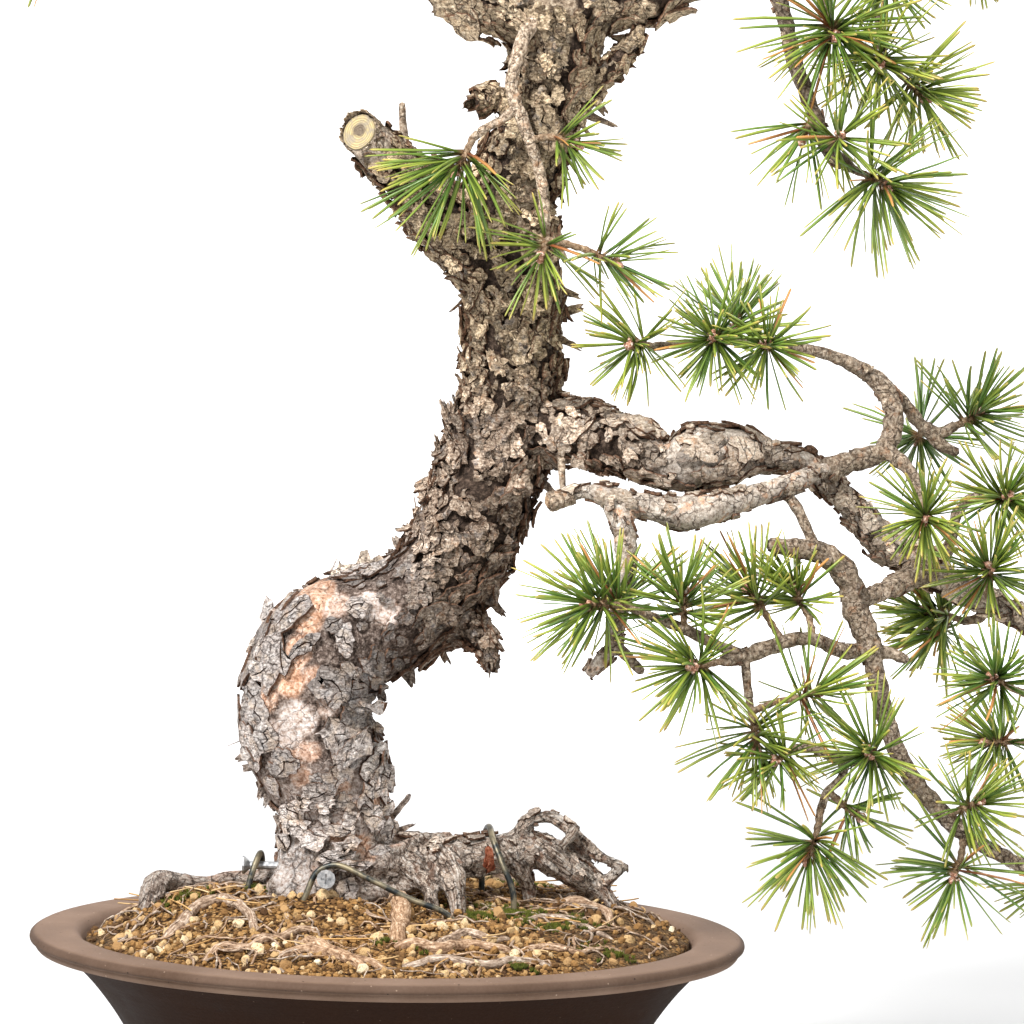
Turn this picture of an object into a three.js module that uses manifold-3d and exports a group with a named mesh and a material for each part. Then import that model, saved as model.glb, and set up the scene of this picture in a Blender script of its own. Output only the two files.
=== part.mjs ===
import * as THREE from "three";
import { mergeVertices } from "three/addons/utils/BufferGeometryUtils.js";
import Module from "manifold-3d";

// A Scots pine bonsai in a round pot, in millimetres with +Z up.
// It is drawn about the pot's upright axis, and moved at the end so that the origin
// lies under the middle of its outline.

const wasm = await Module();
wasm.setup();

// Driving dimensions.
const CLEARANCE = 0.35;
const RIM_RADIUS = 161.5;
const RIM_HEIGHT = 90;
const THROAT_RADIUS = 137;
const FOOT_HEIGHT = 8;
const FLOOR_THICKNESS = 10;
const FLOOR_TOP = FOOT_HEIGHT + FLOOR_THICKNESS;
const POT_SIDES = 36;
const WIRE_RADIUS = 1.4;
const WIRE_HOLE_RADIUS = 3.2;
const NEEDLE_LENGTH = 30;
const NEEDLES_A_SHOOT = 18;
const NEEDLE_ZONE = 8;
const NEEDLE_BAND = 2;
const TWIG_RADIUS = 1.6;
const TWIG_TIP_RADIUS = 1.2;
const TWIG_SIDES = 5;

const colours = {
  clay: { color: 0x6f584b, roughness: 0.75, metalness: 0 },
  soil: { color: 0xa8824f, roughness: 1, metalness: 0 },
  bark: { color: 0x8b7a6e, roughness: 0.95, metalness: 0 },
  needles: { color: 0x4f7a33, roughness: 0.6, metalness: 0 },
  steel: { color: 0xb9bcbd, roughness: 0.4, metalness: 1 },
  wire: { color: 0x3c4144, roughness: 0.45, metalness: 1 },
  plastic: { color: 0x1e1e1e, roughness: 0.7, metalness: 0 },
};

// The wood's limbs: each point is x, y, z and radius.
// Limbs that go into the soil are marked, because the soil has a plain hole for each.
const limbs = {
  trunk: {
    ground: true,
    sides: 15,
    pitch: 10,
    bark: 1.8,
    points: [
      [-24, 0, 72, 25], [-24, 0, 90, 30], [-24, 0, 106, 31], [-25, 0, 122, 28], [-25, -1, 136, 26],
      [-26, -2, 149, 26], [-32, -4, 167, 31], [-37, -5, 185, 31.5], [-36, -4, 202, 31.5],
      [-29, -1, 217, 31.5], [-15, 3, 230, 31], [3, 7, 242, 30.5], [19, 9, 257, 29.5],
      [31, 10, 276, 27.5], [38, 10, 291, 26.5], [44, 9, 308, 25.5], [49, 8, 328, 23],
      [51, 6, 346, 22.5], [51, 4, 364, 22], [51, 2, 382, 21.5], [49, 0, 402, 22.5],
      [48, -2, 419, 21.5], [54, -4, 438, 19.5], [61, -6, 455, 19], [66, -7, 473, 19],
      [67, -8, 490, 20.5], [66, -8, 507, 23],
    ],
  },
  crown_left: {
    sides: 8,
    points: [
      [66, -8, 505, 20.5], [48, -8, 509, 19], [30, -7, 515, 16], [13, -4, 527, 13.5],
      [-6, 0, 539, 10.5], [-28, 6, 549, 8.5], [-53, 12, 555, 7], [-77, 14, 557, 5.5],
      [-100, 12, 552, 4], [-120, 8, 545, 3], [-138, 6, 539, 2.5], [-153, 2, 535, 2],
    ],
  },
  crown_right: {
    sides: 8,
    points: [
      [64, -8, 505, 19.5], [87, -7, 512, 16], [109, -5, 518, 15], [132, -2, 528, 11.5],
      [155, 2, 541, 9], [179, 8, 550, 7], [204, 12, 555, 5.5], [227, 14, 553, 4], [246, 12, 546, 2.5],
    ],
  },
  leader: {
    sides: 8,
    points: [
      [68, -8, 511, 20.5], [65, -6, 532, 16], [71, -2, 552, 13], [82, 4, 571, 11],
      [85, 8, 590, 8.5], [77, 8, 606, 6.5], [65, 4, 619, 5], [58, 0, 632, 3.5],
    ],
  },
  sawn_stub: {
    sides: 9,
    points: [
      [41, -2, 393, 16], [28, -6, 404, 15], [12, -12, 421, 13], [-4, -20, 437, 11.5],
      [-24, -28, 451, 10.5],
    ],
  },
  sawn_stub_spike: { points: [[3, -18, 435, 3.5], [1, -18, 449, 2], [0, -18, 463, 1.5]] },
  upper_left_stub: { points: [[51, -4, 463, 7], [42, -8, 467, 6], [33, -12, 465, 5]] },
  upper_right_stub: {
    points: [
      [80, -8, 470, 6.5], [90, -10, 479, 5], [97, -12, 486, 5], [103, -14, 493, 4.5],
      [105, -15, 498, 3],
    ],
  },
  upper_right_spike: { points: [[83, -6, 467, 3], [84, -8, 459, 1.5]] },
  bend_stub: {
    points: [
      [25, 4, 240, 12], [35, 0, 229, 8], [41, -4, 221, 5.5], [44, -6, 213, 3.5], [44, -7, 206, 2],
    ],
  },
  first_branch: {
    sides: 8,
    bark: 0.8,
    points: [
      [52, 8, 320, 15.5], [73, 2, 318, 16], [91, -8, 316, 15.5], [107, -18, 311, 14],
      [120, -22, 305, 11.5], [136, -22, 308, 15.5], [153, -18, 311, 12], [168, -13, 309, 7.5],
      [184, -9, 306, 6.5], [195, -5, 296, 6.5], [221, 4, 271, 8], [234, 6, 264, 9],
      [246, 8, 255, 7.5], [275, 16, 241, 6], [289, 20, 234, 5.5],
      [305, 24, 223, 4.5], [322, 24, 208, 3.5], [335, 22, 196, 2.5],
    ],
  },
  front_limb: {
    sides: 8,
    points: [
      [74, -40, 289, 3.5], [85, -42, 293, 4], [97, -45, 291, 6], [111, -46, 287, 7],
      [129, -46, 285, 8.5], [143, -42, 287, 8], [156, -36, 291, 6], [171, -29, 296, 5.5],
      [184, -22, 301, 5], [193, -14, 304, 4],
    ],
  },
  front_drop: {
    points: [
      [97, -45, 291, 6], [101, -50, 279, 6.5], [103, -54, 266, 5.5], [102, -56, 251, 5.5],
      [100, -56, 237, 5], [98, -54, 226, 4.5], [93, -53, 219, 4.5], [87, -52, 213, 4],
    ],
  },
  front_drop_spur: { points: [[98, -54, 228, 3], [104, -56, 222, 2.5], [111, -58, 215, 2]] },
  hanging_twig: {
    points: [
      [173, -28, 295, 2.5], [179, -30, 287, 2.5], [184, -32, 277, 2.5], [188, -32, 268, 2.5],
    ],
  },
  hanging_branch: {
    points: [
      [167, -34, 271, 3], [178, -34, 269, 4.5], [189, -32, 268, 5], [197, -30, 263, 5.5],
      [204, -28, 253, 6], [207, -28, 241, 6], [212, -28, 229, 6], [215, -28, 218, 4.5],
      [223, -32, 187, 4], [230, -34, 172, 4], [251, -32, 148, 4], [264, -30, 139, 3.5], [289, -26, 126, 3],
      [304, -24, 119, 2.5], [317, -22, 113, 2],
    ],
  },
  hanging_stub: { points: [[211, -28, 224, 4], [220, -26, 223, 3], [230, -25, 220, 2]] },
  hanging_link: {
    points: [
      [240, 4, 260, 7], [231, -8, 255, 5.5], [221, -18, 251, 4.5], [208, -28, 246, 4],
    ],
  },
  low_left: {
    points: [
      [212, -28, 224, 4], [200, -34, 224, 3.5], [189, -40, 229, 3], [179, -46, 230, 3],
      [169, -52, 227, 3.5], [156, -58, 223, 3.5], [146, -64, 221, 2.5],
    ],
  },
  low_left_high: {
    points: [
      [157, -58, 223, 2.5], [143, -64, 228, 2.5], [129, -68, 235, 2.5], [116, -71, 240, 2],
      [107, -73, 244, 2],
    ],
  },
  low_left_under: { points: [[156, -58, 224, 2.5], [157, -61, 213, 2], [158, -63, 205, 2]] },
  bottom_left: {
    points: [
      [230, -34, 172, 3.5], [220, -42, 175, 3], [209, -49, 177, 2.5], [201, -54, 177, 2.5],
      [194, -56, 180, 2.5], [186, -58, 183, 2], [179, -60, 183, 2],
    ],
  },
  bottom_low: {
    points: [
      [201, -54, 177, 2.5], [200, -56, 170, 2], [194, -58, 164, 2], [191, -60, 157, 2],
    ],
  },
  arch: {
    points: [
      [194, -12, 303, 6], [204, -6, 307, 5], [217, -2, 311, 4.5], [223, 2, 320, 4.5],
      [223, 4, 331, 4.5], [219, 6, 340, 4.5], [212, 6, 346, 4], [201, 2, 352, 3],
      [184, -8, 357, 2.5], [164, -12, 360, 2.5], [142, -15, 360, 2], [113, -19, 357, 2],
    ],
  },
  arch_out: {
    points: [
      [214, 6, 344, 3.5], [227, 12, 335, 3], [239, 18, 322, 3], [247, 20, 320, 2.5],
      [253, 21, 323, 2.5],
    ],
  },
  arch_stub: { points: [[239, 18, 323, 3], [247, 20, 314, 3], [254, 20, 311, 2]] },
  arch_low: {
    points: [
      [219, -2, 313, 4], [229, -10, 305, 3], [234, -18, 296, 2.5], [236, -24, 290, 2],
    ],
  },
  right_up: {
    points: [
      [246, 8, 257, 3.5], [252, 10, 274, 2.5], [255, 11, 286, 2.5], [264, 11, 292, 2.5],
      [270, 10, 291, 2],
    ],
  },
  right_down: {
    points: [
      [305, 24, 223, 3.5], [301, 8, 213, 3], [294, -6, 206, 2.5], [284, -16, 205, 2],
    ],
  },
  right_low: {
    points: [
      [318, 24, 212, 3], [314, 22, 196, 2.5], [304, 18, 184, 2.5], [292, 12, 180, 2.5],
    ],
  },
  under_back: { points: [[270, 15, 244, 2.5], [266, 20, 236, 2.5], [259, 24, 234, 2]] },
  first_tip_up: { points: [[320, 24, 210, 2.5], [334, 18, 215, 2.5], [344, 12, 219, 2]] },
  drop_twig: {
    points: [
      [61, -22, 506, 4], [54, -30, 494, 3.5], [50, -32, 481, 3], [49, -33, 469, 3], [53, -34, 458, 3],
      [58, -34, 445, 2.5], [62, -33, 433, 2.5], [64, -34, 419, 2.5], [65, -36, 410, 2],
    ],
  },
  drop_left: { points: [[52, -34, 462, 2.5], [44, -36, 456, 2], [37, -38, 452, 2], [32, -39, 448, 2]] },
  cascade: {
    points: [
      [155, 2, 539, 5.5], [162, -8, 526, 4.5], [167, -16, 512, 3.5], [170, -18, 502, 3.5],
      [173, -20, 488, 3.5], [178, -22, 474, 3.5], [183, -24, 462, 3.5], [189, -26, 447, 3.5],
      [197, -27, 440, 3], [202, -28, 437, 2],
    ],
  },
  cascade_middle: {
    points: [
      [177, 8, 549, 4], [182, -4, 533, 3], [185, -14, 517, 2.5], [188, -22, 506, 2],
    ],
  },
  cascade_outer: {
    points: [
      [197, 12, 552, 3.5], [205, 6, 536, 2.5], [209, 0, 518, 2], [213, -2, 501, 2], [215, -4, 487, 2],
    ],
  },
  root_right: {
    ground: true,
    sides: 8,
    points: [
      [-17, -4, 115, 20], [3, -4, 121, 14.5], [23, -2, 124, 10.5], [43, 4, 125, 9.5], [60, 12, 127, 10.5],
      [74, 14, 124, 8], [85, 14, 119, 5.5], [96, 12, 111, 4], [101, 10, 105, 3], [104, 10, 98, 2.5],
    ],
  },
  root_leg_front: {
    ground: true,
    points: [
      [64, 4, 129, 6.5], [76, 4, 121, 6], [87, 8, 114, 5], [97, 12, 106, 3.5], [103, 14, 98, 2.5],
    ],
  },
  root_leg_middle: {
    ground: true,
    points: [
      [55, 4, 127, 6], [59, 4, 119, 4.5], [63, 10, 109, 3.5], [64, 12, 99, 3],
    ],
  },
  root_leg_left: {
    ground: true,
    points: [
      [21, -10, 126, 8], [27, -20, 120, 6.5], [31, -28, 111, 4.5], [32, -31, 104, 3.5],
      [33, -32, 96, 2.5],
    ],
  },
  root_stump: {
    ground: true,
    points: [
      [10, -10, 122, 8], [18, -20, 114, 4.5], [20, -26, 104, 3.5], [20, -28, 96, 3],
    ],
  },
  root_loop: {
    ground: true,
    points: [
      [59, 10, 133, 5.5], [63, 12, 140, 4.5], [72, 12, 142, 4], [81, 12, 137, 4], [87, 12, 131, 4],
      [96, 12, 124, 3.5], [107, 12, 120, 2.5], [109, 12, 117, 1.5],
    ],
  },
  root_loop_under: {
    ground: true,
    points: [
      [106, 12, 120, 2.5], [101, 12, 115, 3], [95, 12, 110, 3], [91, 12, 103, 2.5],
    ],
  },
  root_snag: { ground: true, points: [[77, 8, 128, 3], [82, 6, 134, 2.5], [85, 4, 139, 2.5]] },
  root_left: {
    ground: true,
    sides: 7,
    points: [
      [-31, -6, 117, 18], [-41, -12, 111, 11.5], [-48, -18, 104, 8], [-52, -22, 94, 5.5],
    ],
  },
  root_back: {
    ground: true,
    sides: 7,
    points: [
      [-24, 12, 116, 18], [-21, 34, 106, 12], [-18, 52, 92, 6.5],
    ],
  },
  root_far_left: {
    ground: true,
    points: [
      [-42, 4, 112, 11], [-58, 10, 110, 5.5], [-72, 12, 110, 4.5], [-84, 10, 108, 3.5], [-96, 6, 110, 4],
      [-104, 0, 110, 5.5], [-106, -6, 105, 6], [-107, -10, 97, 5], [-106, -12, 90, 4],
    ],
  },
};

// Sprays of needles: each has one or two shoots, given by the points of the twig.
const sprays = {
  low_left_tip: [
    [[107, -73, 244], [95, -76, 246], [86, -80, 246]],
    [[101, -74, 245], [99, -70, 246], [98, -66, 251]],
  ],
  low_left_high: [[[129, -68, 235], [128, -72, 243], [127, -74, 252]]],
  low_left_middle: [[[173, -49, 229], [167, -46, 238], [162, -44, 246], [158, -44, 252]]],
  low_left_face: [[[146, -64, 221], [139, -72, 220], [132, -84, 220]]],
  low_left_under: [
    [[158, -63, 205], [159, -66, 199], [159, -70, 193]],
    [[159, -66, 199], [170, -60, 203], [181, -56, 205], [190, -52, 208]],
  ],
  low_left_root: [[[187, -41, 229], [185, -38, 239], [181, -36, 246], [178, -36, 254]]],
  bottom_left: [[[179, -60, 183], [175, -64, 181], [170, -72, 178]]],
  bottom_low: [[[191, -60, 157], [188, -64, 149], [183, -68, 141]]],
  bottom_spur: [[[194, -58, 164], [202, -54, 157], [208, -50, 152]]],
  bottom_face: [[[220, -42, 175], [215, -54, 180], [211, -66, 182]]],
  hanging_low: [[[257, -31, 144], [255, -36, 134], [250, -46, 129]]],
  hanging_up: [[[249, -32, 151], [254, -40, 155], [261, -48, 159]]],
  hanging_tip: [[[317, -22, 113], [327, -22, 110], [336, -22, 108]]],
  hanging_side: [[[292, -26, 125], [299, -14, 120], [303, -4, 116]]],
  right_down: [[[284, -16, 205], [275, -24, 209], [267, -36, 214]]],
  right_low: [[[292, 12, 180], [280, 6, 181], [269, 0, 181]]],
  under_back: [
    [[259, 24, 234], [250, 27, 237], [242, 28, 238]],
    [[253, 26, 236], [250, 34, 228], [245, 40, 227]],
  ],
  arch_low: [[[236, -24, 290], [236, -30, 286], [235, -42, 284]]],
  first_face: [[[268, 12, 245], [268, -6, 254], [266, -20, 262]]],
  arch_back: [[[239, 18, 322], [238, 30, 319], [238, 42, 316]]],
  arch_tip: [[[253, 21, 323], [260, 20, 327], [265, 18, 331]]],
  right_up: [[[270, 10, 291], [274, 6, 291], [276, 0, 292]]],
  far_left_tip: [[[113, -19, 357], [108, -21, 357], [103, -23, 359]]],
  far_left_face: [[[143, -15, 360], [142, -26, 361], [140, -38, 362]]],
  far_left_back: [[[151, -14, 360], [149, -2, 364], [148, 6, 369]]],
  far_left_inner: [[[166, -12, 359], [165, -24, 359], [163, -36, 359]]],
  drop_left: [[[32, -39, 448], [26, -41, 443], [22, -44, 438]]],
  drop_right: [[[58, -34, 448], [64, -37, 449], [69, -42, 446]]],
  drop_tip: [
    [[65, -36, 410], [64, -37, 405], [58, -42, 400]],
    [[64, -37, 405], [77, -36, 402], [88, -38, 399]],
  ],
  cascade_middle: [[[188, -22, 506], [190, -26, 500], [191, -32, 496]]],
  cascade_outer: [[[215, -4, 487], [220, -6, 482], [225, -8, 477]]],
  cascade_outer_face: [[[212, -2, 500], [212, -12, 490], [212, -24, 483]]],
  cascade_tip: [[[202, -28, 437], [206, -30, 436], [210, -34, 434]]],
  cascade_face: [[[189, -26, 447], [192, -34, 450], [194, -44, 452]]],
  cascade_small: [[[183, -24, 462], [182, -34, 458], [182, -40, 455]]],
  cascade_high: [[[205, 6, 536], [213, 2, 532], [216, -8, 521]]],
  first_tip: [[[335, 22, 196], [341, 22, 190], [345, 20, 184]]],
  first_tip_up: [[[344, 12, 219], [351, 8, 221], [357, 6, 223]]],
  crown_left_tip: [
    [[-153, 2, 535], [-161, 0, 533], [-168, -2, 531]],
    [[-159, 1, 534], [-162, 12, 541], [-164, 20, 547]],
  ],
  crown_left_a: [
    [[-100, 12, 552], [-106, -2, 559], [-115, -16, 564]],
    [[-105, -1, 559], [-102, 6, 566], [-101, 10, 573]],
  ],
  crown_left_b: [
    [[-53, 12, 555], [-59, 30, 565], [-68, 44, 572]],
    [[-58, 28, 564], [-54, 40, 572], [-50, 44, 579]],
  ],
  crown_left_c: [
    [[-28, 6, 549], [-36, -14, 555], [-44, -32, 557]],
    [[-35, -12, 555], [-31, -24, 561], [-28, -34, 567]],
  ],
  crown_left_d: [
    [[13, -4, 527], [8, 18, 542], [-2, 34, 553]],
    [[8, 16, 541], [12, 26, 553], [14, 32, 562]],
  ],
  crown_top: [
    [[58, 0, 632], [57, -2, 640], [55, -4, 647]],
    [[58, -1, 637], [63, 8, 642], [68, 16, 646]],
  ],
  crown_high_left: [[[72, 6, 613], [63, -12, 616], [54, -28, 619]]],
  crown_high_right: [[[84, 8, 594], [97, 18, 599], [108, 28, 605]]],
  crown_middle_right: [
    [[81, 4, 570], [91, -18, 571], [101, -38, 572]],
    [[90, -16, 571], [88, -32, 577], [86, -44, 582]],
  ],
  crown_middle_left: [
    [[72, -2, 552], [56, 18, 560], [42, 34, 568]],
    [[57, 17, 560], [52, 32, 570], [49, 44, 579]],
  ],
  crown_right_a: [
    [[132, -2, 528], [135, 22, 543], [131, 40, 555]],
    [[134, 20, 541], [142, 34, 552], [149, 42, 559]],
  ],
  crown_right_b: [[[204, 12, 555], [208, 26, 566], [210, 38, 577]]],
  crown_right_tip: [
    [[246, 12, 546], [255, 8, 543], [264, 4, 541]],
    [[251, 10, 544], [253, 16, 552], [256, 20, 558]],
  ],
};

// Tie wires, from the trunk down through the soil to a hook under the pot's floor.
const wires = {
  wire_front: {
    hooks: [[-41, -36], [33, -43]],
    points: [
      [-41, -36, 98], [-36, -35.5, 110], [-32, -33.6, 119.5], [-28, -33.4, 122.6], [-22, -34, 123.8],
      [-7, -37.5, 118], [11, -40.5, 110], [27, -42.5, 104], [33, -43, 96],
    ],
  },
  wire_root: {
    hooks: [[42, 20], [57, -18]],
    points: [
      [42, 20, 98], [42, 20, 120], [43, 16, 133], [45, 4, 137.8], [47, -8, 133], [51, -14, 124],
      [56, -17.5, 112], [57, -18, 98],
    ],
  },
  wire_left: {
    hooks: [[-64, -16]],
    points: [
      [-64, -16, 98], [-62.5, -14, 112], [-59.5, -10.5, 122], [-58, -5, 125], [-57.5, -1, 122],
      [-57.5, -0.5, 118],
    ],
  },
};

// Screws that hold the wires: the middle of the head's face, and the way it looks.
const screws = {
  screw_front: { face: [-27, -38.4, 118], out: [0, -1, 0] },
  screw_left: { face: [-66, -6, 119.5], out: [-1, 0, 0] },
};

// Loose roots that lie on the soil: each point is x, y and radius.
const looseRoots = [
  [[-97, -58, 2], [-88, -44, 2.5], [-76, -27, 2.5], [-66, -34, 2.5], [-56, -62, 2]],
  [[-77, -95, 1.5], [-66, -87, 2], [-50, -83, 2], [-38, -69, 2], [-24, -68, 1.5]],
  [[5, -48, 3], [8, -62, 3], [7, -83, 2]],
  [[72, -8, 2], [86, -4, 2], [98, -8, 2], [104, -26, 1.5]],
];

/** A repeatable stream of numbers from 0 to 1. */
function seededRandom(seed) {
  let state = seed;
  return () => {
    state = (state + 0x6d2b79f5) | 0;
    let value = Math.imul(state ^ (state >>> 15), 1 | state);
    value = (value + Math.imul(value ^ (value >>> 7), 61 | value)) ^ value;
    return ((value ^ (value >>> 14)) >>> 0) / 4294967296;
  };
}

const lerp = THREE.MathUtils.lerp;
const vector = (point) => new THREE.Vector3(point[0], point[1], point[2]);

/** An indexed geometry from flat lists of positions and corners. */
function indexedGeometry(positions, corners) {
  const geometry = new THREE.BufferGeometry();
  geometry.setAttribute("position", new THREE.Float32BufferAttribute(positions, 3));
  geometry.setIndex(corners);
  return geometry;
}

/** A solid from a closed geometry, turned so that its faces look out. */
function solidOf(source) {
  const bare = source.clone();
  bare.deleteAttribute("normal");
  bare.deleteAttribute("uv");
  const merged = mergeVertices(bare, 1e-4);
  const position = merged.attributes.position;
  const index = merged.index.array;
  const corners = [];
  let volume = 0;
  for (let i = 0; i < index.length; i += 3) {
    const [a, b, c] = [index[i], index[i + 1], index[i + 2]];
    if (a === b || b === c || c === a) continue;
    corners.push(a, b, c);
    const [va, vb, vc] = [a, b, c].map((corner) => new THREE.Vector3().fromBufferAttribute(position, corner));
    volume += va.dot(vb.cross(vc));
  }
  if (volume < 0) corners.reverse();
  return new wasm.Manifold(new wasm.Mesh({
    numProp: 3,
    vertProperties: new Float32Array(position.array),
    triVerts: new Uint32Array(corners),
  }));
}

/** A geometry from a solid. */
function geometryOf(solid) {
  const mesh = solid.getMesh();
  return indexedGeometry(Array.from(mesh.vertProperties), Array.from(mesh.triVerts));
}

/** All of the given solids joined in one. */
function joined(solids) {
  return solids.reduce((whole, solid) => whole.add(solid));
}

/** The stations of a limb: at its points, or evenly spaced along a smooth curve if it has a pitch. */
function stationsOf({ points, pitch }) {
  if (!pitch) return points.map((point) => ({ centre: vector(point), radius: point[3] }));
  const curve = new THREE.CatmullRomCurve3(points.map(vector), false, "centripetal");
  const steps = Math.round(curve.getLength() / pitch);
  return Array.from({ length: steps + 1 }, (_, i) => {
    const place = curve.getUtoTmapping(i / steps) * (points.length - 1);
    const first = Math.min(Math.floor(place), points.length - 2);
    const radius = lerp(points[first][3], points[first + 1][3], place - first);
    return { centre: curve.getPointAt(i / steps), radius };
  });
}

/** Adds to each station its forward way and two ways across it that don't twist along the limb. */
function withFrames(stations) {
  let across = null;
  return stations.map((station, i) => {
    const before = stations[Math.max(i - 1, 0)].centre;
    const after = stations[Math.min(i + 1, stations.length - 1)].centre;
    const forward = after.clone().sub(before).normalize();
    if (!across) across = new THREE.Vector3(0.31, 0.52, 0.79).cross(forward);
    across = across.clone().addScaledVector(forward, -across.dot(forward)).normalize();
    return { ...station, forward, across, aside: forward.clone().cross(across) };
  });
}

/** A point on a station's ring. */
function ringPoint({ centre, across, aside }, angle, radius) {
  const point = centre.clone();
  point.addScaledVector(across, Math.cos(angle) * radius);
  return point.addScaledVector(aside, Math.sin(angle) * radius);
}

/** A closed tube along a limb, grown all round by `grow`. */
function limbSolid(limb, grow = 0, relief = () => 0) {
  const stations = withFrames(stationsOf(limb));
  const widest = Math.max(...stations.map((station) => station.radius));
  const sides = limb.sides ?? (widest > 4.4 ? 6 : 5);
  const steps = stations.length - 1;
  stations[0].centre.addScaledVector(stations[0].forward, -grow);
  stations[steps].centre.addScaledVector(stations[steps].forward, grow);
  const positions = [];
  const corners = [];
  for (let i = 0; i <= steps; i += 1) {
    for (let j = 0; j < sides; j += 1) {
      const radius = stations[i].radius + grow + relief(i, j, stations[i].centre.z);
      positions.push(...ringPoint(stations[i], (2 * Math.PI * j) / sides, radius));
      const next = (j + 1) % sides;
      if (i < steps) {
        const ring = i * sides;
        corners.push(ring + j, ring + next, ring + sides + next);
        corners.push(ring + j, ring + sides + next, ring + sides + j);
      }
    }
  }
  for (let j = 1; j < sides - 1; j += 1) {
    const last = steps * sides;
    corners.push(0, j + 1, j);
    corners.push(last, last + j, last + j + 1);
  }
  return solidOf(indexedGeometry(positions, corners));
}

/** Bark in plates: rows of raised cells, each row turned a little, with sunk seams between. */
function plateRelief(depth, sides, seed) {
  const platesAround = 5;
  const ringsToPlate = 3;
  const sidesToPlate = sides / platesAround;
  const smoothBelow = 116;
  const fullAbove = 140;
  const random = seededRandom(seed);
  const rows = Array.from({ length: 60 }, () => ({
    turn: Math.floor(random() * sides),
    raise: Array.from({ length: platesAround }, () => random()),
  }));
  return (ring, side, z) => {
    const row = rows[Math.floor(ring / ringsToPlate)];
    const around = (side + row.turn) % sides;
    const inSeam = around % sidesToPlate === 0 || ring % ringsToPlate === 0;
    const height = inSeam ? -0.7 : lerp(0.1, 1, row.raise[Math.floor(around / sidesToPlate)]);
    return height * depth * THREE.MathUtils.smoothstep(z, smoothBelow, fullAbove);
  };
}

/** The soil's height at x, y: a mound, higher behind, with a bump where the right root goes in. */
function soilHeight(x, y) {
  const edge = 87.5 + (2 * x) / THROAT_RADIUS;
  const crest = 106 + 0.07 * y;
  const outward = Math.min(1, Math.hypot(x, y) / THROAT_RADIUS);
  const bump = 3 * Math.exp(-((x - 95) ** 2 + (y - 12) ** 2) / (2 * 18 ** 2));
  return edge + (crest - edge) * (1 - outward ** 3.4) + bump;
}

/** A solid of revolution about the z axis, from points radius, height. */
function turned(profile, segments) {
  const lathe = new THREE.LatheGeometry(profile.map(([r, z]) => new THREE.Vector2(r, z)), segments);
  return solidOf(lathe.rotateX(Math.PI / 2));
}

/** A box from its middle and its size. */
function boxSolid(middle, size) {
  return solidOf(new THREE.BoxGeometry(...size).translate(...middle));
}

/** An upright round pin. */
function pinSolid(x, y, bottom, top, radius, segments) {
  const pin = new THREE.CylinderGeometry(radius, radius, top - bottom, segments);
  return solidOf(pin.rotateX(Math.PI / 2).translate(x, y, (top + bottom) / 2));
}

// The pot's inner wall, from the floor up to the throat, as radius and height.
const innerWall = [[96, FLOOR_TOP], [102, 31], [110, 49], [123, 67], [THROAT_RADIUS, 84]];
const DRAIN_RADIUS = 11;
// The soil's side keeps inside the inner wall with fewer steps.
const soilSide = [[95.5, FLOOR_TOP + CLEARANCE], [105, 46], [THROAT_RADIUS - 0.6, 84]];
const DRAIN_CENTRE = [18, 6];
const FOOT_OUTER_RADIUS = 101;
const FOOT_INNER_RADIUS = 85;
const FOOT_ANGLE = 0.62;
const FOOT_TURNS = [-Math.PI / 2, Math.PI / 6, (5 * Math.PI) / 6];

/** One foot: a block bent round the pot's axis. */
function footSolid(turn) {
  const outline = new THREE.Shape();
  outline.absarc(0, 0, FOOT_OUTER_RADIUS, turn - FOOT_ANGLE / 2, turn + FOOT_ANGLE / 2, false);
  outline.absarc(0, 0, FOOT_INNER_RADIUS, turn + FOOT_ANGLE / 2, turn - FOOT_ANGLE / 2, true);
  const sunk = 2;
  const options = { depth: FOOT_HEIGHT + sunk, bevelEnabled: false, curveSegments: 3 };
  return solidOf(new THREE.ExtrudeGeometry(outline, options));
}

/** The pot: a flared bowl with a broad flat lip, three feet, a drain hole and wire holes. */
function potSolid() {
  const outerWall = [[103, FOOT_HEIGHT], [109, 25], [118, 46], [131, 65], [146, 80]];
  const lip = [[159, 82], [RIM_RADIUS, 85], [RIM_RADIUS, 88.5], [158, RIM_HEIGHT], [140, RIM_HEIGHT]];
  const bowl = [[0, FOOT_HEIGHT], ...outerWall, ...lip, ...innerWall.toReversed(), [0, FLOOR_TOP]];
  let pot = turned(bowl, POT_SIDES);
  for (const turn of FOOT_TURNS) pot = pot.add(footSolid(turn));
  const [drainX, drainY] = DRAIN_CENTRE;
  pot = pot.subtract(pinSolid(drainX, drainY, 0, 40, DRAIN_RADIUS, 12));
  for (const [x, y] of Object.values(wires).flatMap((wire) => wire.hooks)) {
    pot = pot.subtract(pinSolid(x, y, 0, 40, WIRE_HOLE_RADIUS, 6));
  }
  return pot;
}

const MESH_SIZE = 34;
const MESH_THICKNESS = 1.2;

/** The drain mesh: a square plate with four holes, flat on the pot's floor. */
function drainMeshSolid(grow = 0) {
  const [x, y] = DRAIN_CENTRE;
  const side = MESH_SIZE + 2 * grow;
  const bottom = FLOOR_TOP + CLEARANCE - grow;
  const height = MESH_THICKNESS + 2 * grow;
  let plate = boxSolid([x, y, bottom + height / 2], [side, side, height]);
  if (grow > 0) return plate;
  const holePitch = 11;
  const holeSize = 7;
  for (const column of [-0.5, 0.5]) {
    for (const row of [-0.5, 0.5]) {
      const middle = [x + column * holePitch, y + row * holePitch, bottom];
      plate = plate.subtract(boxSolid(middle, [holeSize, holeSize, 4 * MESH_THICKNESS]));
    }
  }
  return plate;
}

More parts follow.
